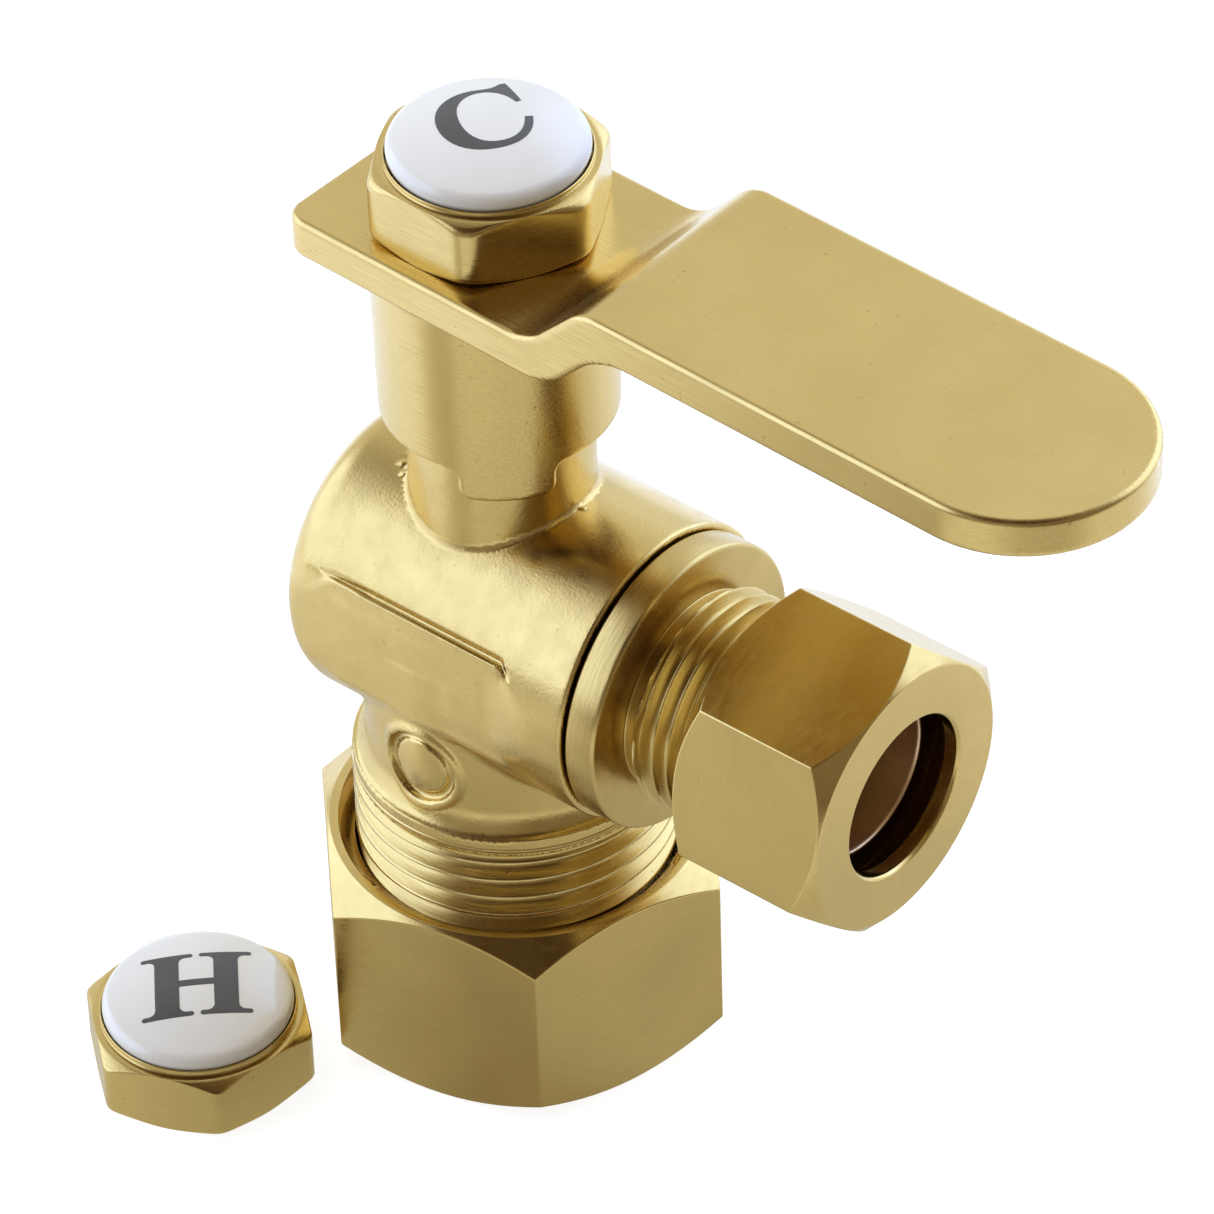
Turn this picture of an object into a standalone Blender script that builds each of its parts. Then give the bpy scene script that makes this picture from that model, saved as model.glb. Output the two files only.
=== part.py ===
"""Quarter-turn angle stop valve: a ball valve with a 5/8 in OD compression inlet below and a 3/8 in OD
compression outlet at its side, a flat lever, and porcelain index buttons in hexagonal cap nuts.

Frame: Z runs up the inlet tube and the stem, X runs out of the outlet. The origin is on the inlet's axis,
in the plane of the inlet nut's lower face. Sizes are in metres.
"""

import math

import bmesh
import bpy
from mathutils import Matrix

MM = 0.001
GAP = 0.3 * MM  # left between pieces that touch on the real valve

# Inlet, 5/8 in OD tube, 13/16-18 thread
INLET_NUT_FLATS = 23.81 * MM
INLET_NUT_HEIGHT = 14.2 * MM
INLET_NUT_CORNER = math.radians(-46.4)
INLET_THREAD_RADIUS = 10.05 * MM
INLET_THREAD_TOP = 20.6 * MM
INLET_SPIGOT_END = 7.6 * MM
INLET_TUBE_RADIUS = 8.05 * MM
INLET_SOCKET_TOP = 17.0 * MM
INLET_BOSS_RADIUS = 9.35 * MM
INLET_NUT_WEB = 2.2 * MM
INLET_NUT_DROP = 1.5 * MM  # how far the chamfer cuts a corner back from the end face
INLET_FERRULE = (8.9 * MM, 2.9 * MM, 8.0 * MM)  # outer radius, bottom, top

# Body
BARREL_AXIS_Z = 31.7 * MM
BARREL_RADIUS = 9.6 * MM
BARREL_LEFT_END = -10.45 * MM
BARREL_RIGHT_END = 11.75 * MM
BARREL_CORNER = 2.3 * MM
CHEEK_FACE = 9.05 * MM  # flat sides on the barrel's front and back, from the inlet's axis
CHEEK_LEFT = -8.15 * MM
CHEEK_RIGHT = 7.3 * MM
CHEEK_BOTTOM = 27.1 * MM
CHEEK_TOP = 35.75 * MM
NECK_RADIUS = 5.9 * MM
NECK_TOP = 52.0 * MM
STOP_BOSS_MIDDLE = math.radians(137.0)
STOP_BOSS_HEIGHT = 1.3 * MM
STOP_SPAN = math.radians(134.0)  # of the boss on the neck and of the lug in the lever
CHAMBER_RADIUS = 6.9 * MM
CHAMBER_LEFT = -7.9 * MM
RETAINER_POCKET_LEFT = 6.2 * MM
SEAL_POCKET_RADIUS = 8.6 * MM
SEAL_POCKET_LEFT = 10.3 * MM
PORT_RADIUS = 3.4 * MM

# Ball, seats and stem
BALL_RADIUS = 6.2 * MM
SEAT_FAR = 6.3 * MM
SEAT_CONTACT_RADIUS = 5.6 * MM  # outer edge of the ring that the ball bears on
SLOT_FLOOR = 4.4 * MM  # above the ball's centre
STEM_RADIUS = 3.6 * MM
STEM_BORE_RADIUS = 4.0 * MM
STEM_COLLAR_RADIUS = 4.6 * MM
STEM_COLLAR_BOTTOM = 38.5 * MM
STEM_COLLAR_TOP = 39.9 * MM
STEM_WASHER_TOP = 41.2 * MM
STEM_TANG_WIDTH = 2.0 * MM
STEM_TANG_LENGTH = 6.4 * MM
STEM_SQUARE = 4.6 * MM
STEM_SQUARE_BOTTOM = 52.3 * MM
STEM_SQUARE_TOP = 60.3 * MM
STEM_THREAD_RADIUS = 2.3 * MM
STEM_TOP = 63.6 * MM
STEM_O_RING_HEIGHTS = (44.0 * MM, 48.0 * MM)
STEM_O_RING_THICKNESS = 0.9 * MM
BODY_O_RING_THICKNESS = 1.0 * MM
BACK_O_RING_RADIUS = 5.3 * MM

# Outlet, 3/8 in OD tube, 9/16-24 thread
FLANGE_RADIUS = 9.27 * MM
FLANGE_LEFT = 12.09 * MM
FLANGE_RIGHT = 14.08 * MM
RETAINER_THREAD_RADIUS = 7.4 * MM
RETAINER_THREAD_END = 10.0 * MM
RETAINER_GROOVE_RADIUS = 6.9 * MM
OUTLET_THREAD_RADIUS = 7.05 * MM
OUTLET_THREAD_LEFT = 15.0 * MM
OUTLET_END = 23.6 * MM
OUTLET_TUBE_RADIUS = 4.85 * MM
OUTLET_SOCKET_LEFT = 18.5 * MM
OUTLET_NUT_FLATS = 17.2 * MM
OUTLET_NUT_LEFT = 19.45 * MM
OUTLET_NUT_RIGHT = 30.1 * MM
OUTLET_NUT_CORNER = math.radians(47.1)
OUTLET_NUT_WEB_LEFT = 28.7 * MM
OUTLET_NUT_HOLE_RADIUS = 5.2 * MM
OUTLET_NUT_DROP = 1.0 * MM
OUTLET_FERRULE = (5.6 * MM, 22.9 * MM, 28.2 * MM)

# Lever
LEVER_YAW = math.radians(-2.2)
LEVER_HALF_WIDTH = 7.75 * MM
LEVER_LEFT = -9.5 * MM
LEVER_TIP = 47.0 * MM
HUB_BOTTOM = 58.1 * MM
HUB_TOP = 60.65 * MM
RAMP_START = 9.4 * MM
BLADE_RISE = 4.15 * MM
LOWER_BEND_OFFSET = 1.5 * MM  # the lower face turns this much later than the upper one
HUB_CORNER = 1.6 * MM
SKIRT_TOP_RADIUS = 7.35 * MM
SKIRT_BOTTOM_RADIUS = 7.15 * MM
SKIRT_BORE_RADIUS = 6.25 * MM
SKIRT_BOTTOM = 46.9 * MM
SKIRT_CEILING = 54.6 * MM
TAB_BOTTOM = 44.75 * MM
TAB_FROM = math.radians(-69.0)
TAB_TO = math.radians(-20.0)

# Index nuts and buttons, measured up from the nut's seat
INDEX_NUT_FLATS = 12.75 * MM
INDEX_NUT_HEIGHT = 4.05 * MM
INDEX_NUT_SEAT = HUB_TOP + GAP
INDEX_NUT_CORNER = math.radians(-61.5)
INDEX_RECESS_RADIUS = 5.3 * MM
INDEX_RECESS_FLOOR = 3.4 * MM
INDEX_THREAD_RADIUS = 2.6 * MM
INDEX_THREAD_TOP = 2.95 * MM
BUTTON_PLUG_RADIUS = 5.0 * MM
BUTTON_RIM_RADIUS = 6.13 * MM
BUTTON_EDGE_RADIUS = 0.5 * MM
BUTTON_CROWN = 0.75 * MM
SPARE_NUT_PLACE = (-11.22 * MM, -18.07 * MM)
SPARE_NUT_CORNER = math.radians(-36.7)

ROUND_STEPS = 32
SMALL_ROUND_STEPS = 24

BRASS = (0.63, 0.47, 0.17)
POLISHED_BRASS = (0.68, 0.49, 0.15)
CHROME = (0.75, 0.75, 0.76)
WHITE_SEAL = (0.85, 0.84, 0.80)
BLACK_SEAL = (0.02, 0.02, 0.02)
PORCELAIN = (0.88, 0.88, 0.87)

ALONG_X = (0, math.pi / 2, 0)  # turns a piece made around Z so that it runs along X


def clear_scene():
    for item in list(bpy.data.objects):
        bpy.data.objects.remove(item, do_unlink=True)


def material(name, colour, roughness, metallic):
    made = bpy.data.materials.new(name)
    made.use_nodes = True
    shader = made.node_tree.nodes["Principled BSDF"]
    shader.inputs["Base Color"].default_value = (*colour, 1)
    shader.inputs["Roughness"].default_value = roughness
    shader.inputs["Metallic"].default_value = metallic
    return made


def make_object(name, shape, location=(0, 0, 0), rotation=(0, 0, 0)):
    """An object from a bmesh, with its origin at location."""
    mesh = bpy.data.meshes.new(name)
    bmesh.ops.recalc_face_normals(shape, faces=shape.faces)
    shape.to_mesh(mesh)
    shape.free()
    mesh.shade_smooth()
    mesh.set_sharp_from_angle(angle=math.radians(30))
    made = bpy.data.objects.new(name, mesh)
    bpy.context.scene.collection.objects.link(made)
    made.location = location
    made.rotation_euler = rotation
    return made


def part(name, shape, look, location=(0, 0, 0), rotation=(0, 0, 0)):
    """A sub-part with its own material; look is (colour, roughness, metallic)."""
    made = make_object(name, shape, location, rotation)
    made.data.materials.append(material(name, *look))
    return made


def tool(name, shape, location=(0, 0, 0), rotation=(0, 0, 0)):
    """A shape that only cuts or joins a part, so it isn't one itself."""
    made = make_object(name, shape, location, rotation)
    made.hide_render = True
    made.display_type = "WIRE"
    return made


def combine(target, operation, *tools):
    for item in tools:
        modifier = target.modifiers.new(item.name, "BOOLEAN")
        modifier.operation = operation
        modifier.solver = "EXACT"
        modifier.object = item


def arc(centre_radius, centre_height, radius, start, end, steps):
    """Profile points along an arc, its angles in degrees from the +radius direction."""
    return [
        (
            centre_radius + radius * math.cos(math.radians(start + (end - start) * i / steps)),
            centre_height + radius * math.sin(math.radians(start + (end - start) * i / steps)),
        )
        for i in range(steps + 1)
    ]


def turned(profile, steps=ROUND_STEPS):
    """A closed profile of (radius, height) points spun round Z."""
    shape = bmesh.new()
    corners = [shape.verts.new((radius, 0, height)) for radius, height in profile]
    edges = [shape.edges.new((a, b)) for a, b in zip(corners, corners[1:] + corners[:1])]
    bmesh.ops.spin(
        shape,
        geom=corners + edges,
        cent=(0, 0, 0),
        axis=(0, 0, 1),
        angle=2 * math.pi,
        steps=steps,
        use_merge=True,
    )
    bmesh.ops.remove_doubles(shape, verts=shape.verts, dist=1e-7)
    on_axis = [edge for edge in shape.edges if not edge.link_faces]
    bmesh.ops.delete(shape, geom=on_axis, context="EDGES")
    return shape


def ring_profile(inner, outer, bottom, top):
    return [(inner, bottom), (outer, bottom), (outer, top), (inner, top)]


def rod(radius, bottom, top, steps=ROUND_STEPS):
    return turned([(0, bottom), (radius, bottom), (radius, top), (0, top)], steps)


def extruded(outline, depth):
    """An outline of points in one plane, extruded by the vector depth."""
    shape = bmesh.new()
    face = shape.faces.new([shape.verts.new(point) for point in outline])
    grown = bmesh.ops.extrude_face_region(shape, geom=[face])["geom"]
    moved = [item for item in grown if isinstance(item, bmesh.types.BMVert)]
    bmesh.ops.translate(shape, vec=depth, verts=moved)
    return shape


def sector(inner, outer, start, end, bottom, top, steps=12):
    """Part of a ring round Z, between two angles."""
    angles = [start + (end - start) * i / steps for i in range(steps + 1)]
    outline = [(outer * math.cos(a), outer * math.sin(a), bottom) for a in angles]
    outline += [(inner * math.cos(a), inner * math.sin(a), bottom) for a in reversed(angles)]
    return extruded(outline, (0, 0, top - bottom))


def block(size, centre):
    shape = bmesh.new()
    bmesh.ops.create_cube(shape, size=1, matrix=Matrix.Translation(centre) @ Matrix.Diagonal((*size, 1)))
    return shape


def hexagon(flats, bottom, top, corner_angle):
    """A six-sided bar round Z with one corner at corner_angle."""
    radius = flats / math.sqrt(3)
    angles = [corner_angle + math.radians(60) * i for i in range(6)]
    outline = [(radius * math.cos(a), radius * math.sin(a), bottom) for a in angles]
    return extruded(outline, (0, 0, top - bottom))


def nut_limit(flats, bottom, top, drop, hollow):
    """The turned shape that a hexagon is cut to: cone chamfers at both ends, and the hollow inside.

    drop is how far a corner stands back from the end face; hollow runs from bottom to top.
    """
    corner_radius = flats / math.sqrt(3)
    face_radius = flats / 2
    slope = drop / (corner_radius - face_radius)
    wide = corner_radius * 1.05
    wide_drop = slope * (wide - face_radius)
    outside = [
        (face_radius, top),
        (wide, top - wide_drop),
        (wide, bottom + wide_drop),
        (face_radius, bottom),
    ]
    return turned(outside + hollow)


def compression_nut(name, flats, bottom, top, corner_angle, drop, hollow, **place):
    nut = part(name, hexagon(flats, bottom - MM, top + MM, corner_angle), (POLISHED_BRASS, 0.22, 1), **place)
    limit = tool(name + "_limit", nut_limit(flats, bottom, top, drop, hollow), **place)
    combine(nut, "INTERSECT", limit)


def o_ring(radius, height, half_thickness, steps=ROUND_STEPS):
    return turned(arc(radius, height, half_thickness, 0, 315, 7), steps)


def ferrule_profile(inner, outer, bottom, top):
    """A barrel-shaped sleeve, thinner at both ends."""
    thin = inner + 0.35 * MM
    quarter = (top - bottom) / 4
    return [
        (inner, bottom),
        (thin, bottom),
        (outer, bottom + quarter),
        (outer, top - quarter),
        (thin, top),
        (inner, top),
    ]


def make_body():
    """The hot-forged body: barrel along X, neck above it, threaded inlet spigot below it."""
    edge = 0.3 * MM
    barrel = [(0, BARREL_LEFT_END)]
    barrel += arc(BARREL_RADIUS - BARREL_CORNER, BARREL_LEFT_END + BARREL_CORNER, BARREL_CORNER, -90, 0, 4)
    barrel += [
        (BARREL_RADIUS, BARREL_RIGHT_END - edge),
        (BARREL_RADIUS - edge, BARREL_RIGHT_END),
        (0, BARREL_RIGHT_END),
    ]
    centre = (0, 0, BARREL_AXIS_Z)
    body = part("valve_body", turned(barrel), (BRASS, 0.32, 1), location=centre, rotation=ALONG_X)

    neck = tool("neck", rod(NECK_RADIUS, BARREL_AXIS_Z, NECK_TOP))
    stop = sector(
        STEM_BORE_RADIUS + 0.2 * MM,
        NECK_RADIUS - GAP,
        STOP_BOSS_MIDDLE - STOP_SPAN / 2,
        STOP_BOSS_MIDDLE + STOP_SPAN / 2,
        NECK_TOP - 0.5 * MM,
        NECK_TOP + STOP_BOSS_HEIGHT,
    )
    stop_boss = tool("neck_stop", stop)
    thread_end = 0.8 * MM
    spigot = [
        (0, INLET_SPIGOT_END),
        (INLET_THREAD_RADIUS - thread_end, INLET_SPIGOT_END),
        (INLET_THREAD_RADIUS, INLET_SPIGOT_END + thread_end),
        (INLET_THREAD_RADIUS, INLET_THREAD_TOP),
        (INLET_BOSS_RADIUS, INLET_THREAD_TOP + 0.4 * MM),
        (INLET_BOSS_RADIUS - 0.3 * MM, BARREL_AXIS_Z),
        (0, BARREL_AXIS_Z),
    ]
    cheek_length = CHEEK_RIGHT - CHEEK_LEFT
    cheek_x = (CHEEK_RIGHT + CHEEK_LEFT) / 2
    cheek_size = (cheek_length, 2 * CHEEK_FACE, CHEEK_TOP - CHEEK_BOTTOM)
    cheeks = tool("cheeks", block(cheek_size, (cheek_x, 0, (CHEEK_TOP + CHEEK_BOTTOM) / 2)))
    combine(body, "UNION", neck, cheeks, tool("spigot", turned(spigot)), stop_boss)

    beyond = BARREL_RADIUS - CHEEK_FACE
    facets = []
    for name, side in (("front_facet", -1), ("back_facet", 1)):
        middle = (cheek_x, side * (CHEEK_FACE + beyond), BARREL_AXIS_Z)
        slab = block((cheek_length, 2 * beyond, BARREL_RADIUS), middle)
        facets.append(tool(name, slab))
    chamber = [
        (0, CHAMBER_LEFT),
        (CHAMBER_RADIUS, CHAMBER_LEFT),
        (CHAMBER_RADIUS, RETAINER_POCKET_LEFT),
        (RETAINER_THREAD_RADIUS + GAP, RETAINER_POCKET_LEFT),
        (RETAINER_THREAD_RADIUS + GAP, SEAL_POCKET_LEFT),
        (SEAL_POCKET_RADIUS, SEAL_POCKET_LEFT),
        (SEAL_POCKET_RADIUS, BARREL_RIGHT_END + MM),
        (0, BARREL_RIGHT_END + MM),
    ]
    chamber_tool = tool("chamber", turned(chamber), location=centre, rotation=ALONG_X)
    flare = 1.2 * MM
    waterway = PORT_RADIUS + 0.6 * MM
    socket = [
        (0, INLET_SPIGOT_END - MM),
        (INLET_TUBE_RADIUS + flare + MM, INLET_SPIGOT_END - MM),
        (INLET_TUBE_RADIUS, INLET_SPIGOT_END + flare),
        (INLET_TUBE_RADIUS, INLET_SOCKET_TOP),
        (waterway, INLET_SOCKET_TOP + MM),
        (waterway, BARREL_AXIS_Z),
        (0, BARREL_AXIS_Z),
    ]
    stem_way = [
        (0, BARREL_AXIS_Z),
        (STEM_COLLAR_RADIUS + GAP, BARREL_AXIS_Z),
        (STEM_COLLAR_RADIUS + GAP, STEM_WASHER_TOP + GAP),
        (STEM_BORE_RADIUS, STEM_WASHER_TOP + GAP),
        (STEM_BORE_RADIUS, NECK_TOP + 3 * MM),
        (0, NECK_TOP + 3 * MM),
    ]
    cuts = (tool("inlet_socket", turned(socket)), tool("stem_way", turned(stem_way)))
    combine(body, "DIFFERENCE", *facets, chamber_tool, *cuts)


def make_ball():
    centre = (0, 0, BARREL_AXIS_Z)
    rotation = (0, 0, LEVER_YAW)
    sphere = turned(arc(0, 0, BALL_RADIUS, -90, 90, 12), SMALL_ROUND_STEPS)
    ball = part("ball", sphere, (CHROME, 0.08, 1), location=centre, rotation=rotation)
    bottom_port = tool("ball_inlet_port", rod(PORT_RADIUS, -8 * MM, 0, SMALL_ROUND_STEPS), location=centre)
    side_port = rod(PORT_RADIUS, -PORT_RADIUS / 2, 8 * MM, SMALL_ROUND_STEPS)
    side = tool("ball_outlet_port", side_port, location=centre, rotation=(0, math.pi / 2, LEVER_YAW))
    slot_size = (16 * MM, STEM_TANG_WIDTH + 2 * GAP, 4 * MM)
    slot = block(slot_size, (0, 0, SLOT_FLOOR + slot_size[2] / 2))
    combine(ball, "DIFFERENCE", bottom_port, side, tool("ball_slot", slot, location=centre, rotation=rotation))


def make_seats():
    """Two PTFE rings that the ball turns between, and the rubber ring that presses them on to it."""
    cup = BALL_RADIUS + GAP
    inner = PORT_RADIUS + 0.5 * MM
    contact = [inner + (SEAT_CONTACT_RADIUS - inner) * i / 4 for i in range(5)]
    face = [(radius, math.sqrt(cup * cup - radius * radius)) for radius in contact]
    outer = CHAMBER_RADIUS - GAP
    profile = face + [(outer, face[-1][1]), (outer, SEAT_FAR), (inner, SEAT_FAR)]
    centre = (0, 0, BARREL_AXIS_Z)
    look = (WHITE_SEAL, 0.45, 0)
    part("outlet_seat", turned(profile), look, location=centre, rotation=ALONG_X)
    part("back_seat", turned(profile), look, location=centre, rotation=(0, -math.pi / 2, 0))
    half = BODY_O_RING_THICKNESS / 2
    backing = o_ring(BACK_O_RING_RADIUS, -SEAT_FAR - GAP - half, half)
    part("back_seat_o_ring", backing, (BLACK_SEAL, 0.6, 0), location=centre, rotation=ALONG_X)


def make_stem():
    """The blow-out-proof stem: tang, collar, two o-ring grooves, square and thread."""
    half_groove = STEM_O_RING_THICKNESS / 2 + GAP
    groove = STEM_RADIUS - 1.1 * MM
    shaft = [(0, STEM_COLLAR_BOTTOM), (STEM_COLLAR_RADIUS, STEM_COLLAR_BOTTOM)]
    shaft += [(STEM_COLLAR_RADIUS, STEM_COLLAR_TOP), (STEM_RADIUS, STEM_COLLAR_TOP)]
    for height in STEM_O_RING_HEIGHTS:
        shaft += [
            (STEM_RADIUS, height - half_groove),
            (groove, height - half_groove),
            (groove, height + half_groove),
            (STEM_RADIUS, height + half_groove),
        ]
    shaft += [(STEM_RADIUS, STEM_SQUARE_BOTTOM), (0, STEM_SQUARE_BOTTOM)]
    turn = (0, 0, LEVER_YAW)
    stem = part("stem", turned(shaft, SMALL_ROUND_STEPS), (BRASS, 0.3, 1), rotation=turn)
    tang_bottom = BARREL_AXIS_Z + SLOT_FLOOR + GAP
    tang_size = (STEM_TANG_LENGTH, STEM_TANG_WIDTH, STEM_COLLAR_TOP - tang_bottom - 0.5 * MM)
    tang = block(tang_size, (0, 0, tang_bottom + tang_size[2] / 2))
    square_size = (STEM_SQUARE, STEM_SQUARE, STEM_SQUARE_TOP - STEM_SQUARE_BOTTOM + MM)
    square = block(square_size, (0, 0, STEM_SQUARE_TOP - square_size[2] / 2))
    chamfer = 0.4 * MM
    thread = [
        (0, STEM_SQUARE_TOP - MM),
        (STEM_THREAD_RADIUS, STEM_SQUARE_TOP - MM),
        (STEM_THREAD_RADIUS, STEM_TOP - chamfer),
        (STEM_THREAD_RADIUS - chamfer, STEM_TOP),
        (0, STEM_TOP),
    ]
    tools = (
        tool("stem_tang", tang, rotation=turn),
        tool("stem_square", square, rotation=turn),
        tool("stem_thread", turned(thread, SMALL_ROUND_STEPS), rotation=turn),
    )
    combine(stem, "UNION", *tools)

    centre_radius = groove + GAP + STEM_O_RING_THICKNESS / 2
    for name, height in zip(("stem_o_ring_lower", "stem_o_ring_upper"), STEM_O_RING_HEIGHTS):
        seal = o_ring(centre_radius, height, STEM_O_RING_THICKNESS / 2, SMALL_ROUND_STEPS)
        part(name, seal, (BLACK_SEAL, 0.6, 0))
    washer = ring_profile(STEM_RADIUS + GAP, STEM_COLLAR_RADIUS, STEM_COLLAR_TOP + GAP, STEM_WASHER_TOP)
    part("stem_thrust_washer", turned(washer, SMALL_ROUND_STEPS), (WHITE_SEAL, 0.45, 0))


def make_retainer():
    """The end piece that screws into the body, holds the seats, and carries the outlet thread."""
    undercut = OUTLET_THREAD_RADIUS - 0.75 * MM
    edge = 0.35 * MM
    chamfer = 0.6 * MM
    nose = SEAT_FAR + GAP
    flare = 1.4 * MM
    profile = [
        (PORT_RADIUS, nose),
        (RETAINER_THREAD_RADIUS - edge, nose),
        (RETAINER_THREAD_RADIUS, nose + edge),
        (RETAINER_THREAD_RADIUS, RETAINER_THREAD_END),
        (RETAINER_GROOVE_RADIUS, RETAINER_THREAD_END),
        (RETAINER_GROOVE_RADIUS, FLANGE_LEFT),
        (FLANGE_RADIUS, FLANGE_LEFT),
        (FLANGE_RADIUS, FLANGE_RIGHT - edge),
        (FLANGE_RADIUS - edge, FLANGE_RIGHT),
        (undercut, FLANGE_RIGHT),
        (undercut, OUTLET_THREAD_LEFT),
        (OUTLET_THREAD_RADIUS, OUTLET_THREAD_LEFT + 0.3 * MM),
        (OUTLET_THREAD_RADIUS, OUTLET_END - chamfer),
        (OUTLET_THREAD_RADIUS - chamfer, OUTLET_END),
        (OUTLET_TUBE_RADIUS + flare, OUTLET_END),
        (OUTLET_TUBE_RADIUS, OUTLET_END - flare),
        (OUTLET_TUBE_RADIUS, OUTLET_SOCKET_LEFT),
        (PORT_RADIUS, OUTLET_SOCKET_LEFT),
    ]
    centre = (0, 0, BARREL_AXIS_Z)
    part("outlet_retainer", turned(profile), (BRASS, 0.28, 1), location=centre, rotation=ALONG_X)
    half = BODY_O_RING_THICKNESS / 2
    seal = o_ring(RETAINER_GROOVE_RADIUS + GAP + half, FLANGE_LEFT - GAP - half, half)
    part("retainer_o_ring", seal, (BLACK_SEAL, 0.6, 0), location=centre, rotation=ALONG_X)


def make_inlet_fitting():
    hole = INLET_TUBE_RADIUS + 0.1 * MM
    bore = INLET_THREAD_RADIUS + GAP
    hollow = [
        (hole + 0.4 * MM, 0),
        (hole, 0.4 * MM),
        (hole, INLET_NUT_WEB),
        (bore, INLET_NUT_WEB + bore - hole),
        (bore, INLET_NUT_HEIGHT - 0.4 * MM),
        (bore + 0.4 * MM, INLET_NUT_HEIGHT),
    ]
    compression_nut(
        "inlet_nut", INLET_NUT_FLATS, 0, INLET_NUT_HEIGHT, INLET_NUT_CORNER, INLET_NUT_DROP, hollow
    )
    ferrule = ferrule_profile(INLET_TUBE_RADIUS, *INLET_FERRULE)
    part("inlet_ferrule", turned(ferrule), (BRASS, 0.25, 1))


def make_outlet_fitting():
    hole = OUTLET_NUT_HOLE_RADIUS
    bore = OUTLET_THREAD_RADIUS + GAP
    edge = 0.3 * MM
    hollow = [
        (bore + edge, OUTLET_NUT_LEFT),
        (bore, OUTLET_NUT_LEFT + edge),
        (bore, OUTLET_NUT_WEB_LEFT - (bore - hole)),
        (hole, OUTLET_NUT_WEB_LEFT),
        (hole, OUTLET_NUT_RIGHT - edge),
        (hole + edge, OUTLET_NUT_RIGHT),
    ]
    place = {"location": (0, 0, BARREL_AXIS_Z), "rotation": ALONG_X}
    compression_nut(
        "outlet_nut",
        OUTLET_NUT_FLATS,
        OUTLET_NUT_LEFT,
        OUTLET_NUT_RIGHT,
        OUTLET_NUT_CORNER,
        OUTLET_NUT_DROP,
        hollow,
        **place,
    )
    ferrule = ferrule_profile(OUTLET_TUBE_RADIUS, *OUTLET_FERRULE)
    part("outlet_ferrule", turned(ferrule, SMALL_ROUND_STEPS), (BRASS, 0.25, 1), **place)


def lever_side():
    """The lever seen from its side, as (x, z): hub plate, 45 degree step and blade."""
    lower_bend = RAMP_START + LOWER_BEND_OFFSET
    return [
        (LEVER_LEFT - MM, HUB_BOTTOM),
        (lower_bend, HUB_BOTTOM),
        (lower_bend + BLADE_RISE, HUB_BOTTOM + BLADE_RISE),
        (LEVER_TIP + MM, HUB_BOTTOM + BLADE_RISE),
        (LEVER_TIP + MM, HUB_TOP + BLADE_RISE),
        (RAMP_START + BLADE_RISE, HUB_TOP + BLADE_RISE),
        (RAMP_START, HUB_TOP),
        (LEVER_LEFT - MM, HUB_TOP),
    ]


def lever_plan():
    """The lever seen from above, as (x, y): a rounded square end and a half-round tip."""
    tip = arc(LEVER_TIP - LEVER_HALF_WIDTH, 0, LEVER_HALF_WIDTH, -90, 90, 16)
    corner_x = LEVER_LEFT + HUB_CORNER
    corner_y = LEVER_HALF_WIDTH - HUB_CORNER
    far = arc(corner_x, corner_y, HUB_CORNER, 90, 180, 4)
    near = arc(corner_x, -corner_y, HUB_CORNER, 180, 270, 4)
    return tip + far + near


def make_lever():
    turn = (0, 0, LEVER_YAW)
    side = [(x, -LEVER_HALF_WIDTH - MM, z) for x, z in lever_side()]
    lever = part(
        "lever_handle",
        extruded(side, (0, 2 * LEVER_HALF_WIDTH + 2 * MM, 0)),
        (BRASS, 0.3, 1),
        rotation=turn,
    )
    plan = [(x, y, HUB_BOTTOM - 5 * MM) for x, y in lever_plan()]
    combine(lever, "INTERSECT", tool("lever_outline", extruded(plan, (0, 0, 20 * MM)), rotation=turn))

    skirt = [
        (0, TAB_BOTTOM),
        (SKIRT_BOTTOM_RADIUS, TAB_BOTTOM),
        (SKIRT_TOP_RADIUS, HUB_BOTTOM + MM),
        (0, HUB_BOTTOM + MM),
    ]
    combine(lever, "UNION", tool("skirt", turned(skirt), rotation=turn))
    around_tab = sector(0.5 * MM, 9 * MM, TAB_TO, TAB_FROM + 2 * math.pi, TAB_BOTTOM - MM, SKIRT_BOTTOM, 24)
    hollow = rod(SKIRT_BORE_RADIUS, TAB_BOTTOM - 2 * MM, SKIRT_CEILING)
    hole_size = (STEM_SQUARE + 2 * GAP, STEM_SQUARE + 2 * GAP, 12 * MM)
    hole = block(hole_size, (0, 0, HUB_BOTTOM))
    cuts = [
        tool(name, shape, rotation=turn)
        for name, shape in (("skirt_hollow", hollow), ("around_tab", around_tab), ("lever_square_hole", hole))
    ]
    combine(lever, "DIFFERENCE", *cuts)

    lug = sector(
        STEM_RADIUS + 0.6 * MM,
        SKIRT_BORE_RADIUS + 0.4 * MM,
        -STOP_SPAN / 2 - LEVER_YAW,
        STOP_SPAN / 2 - LEVER_YAW,
        NECK_TOP + GAP,
        SKIRT_CEILING + MM,
    )
    combine(lever, "UNION", tool("lever_stop", lug, rotation=turn))


def button_profile(base):
    """A porcelain button: plug in the nut's recess, rounded rim and a shallow dome."""
    plug_bottom = base + INDEX_RECESS_FLOOR + GAP
    rim_bottom = base + INDEX_NUT_HEIGHT + GAP
    rim_centre = rim_bottom + BUTTON_EDGE_RADIUS
    edge_radius = BUTTON_RIM_RADIUS - BUTTON_EDGE_RADIUS
    rim = arc(edge_radius, rim_centre, BUTTON_EDGE_RADIUS, -90, 70, 4)
    foot_radius, foot = rim[-1]
    shrink = (0.7, 0.35, 0)
    dome = [(foot_radius * k, foot + BUTTON_CROWN * (1 - k * k)) for k in shrink]
    plug = [(0, plug_bottom), (BUTTON_PLUG_RADIUS, plug_bottom), (BUTTON_PLUG_RADIUS, rim_bottom)]
    return plug + rim + dome


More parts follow.
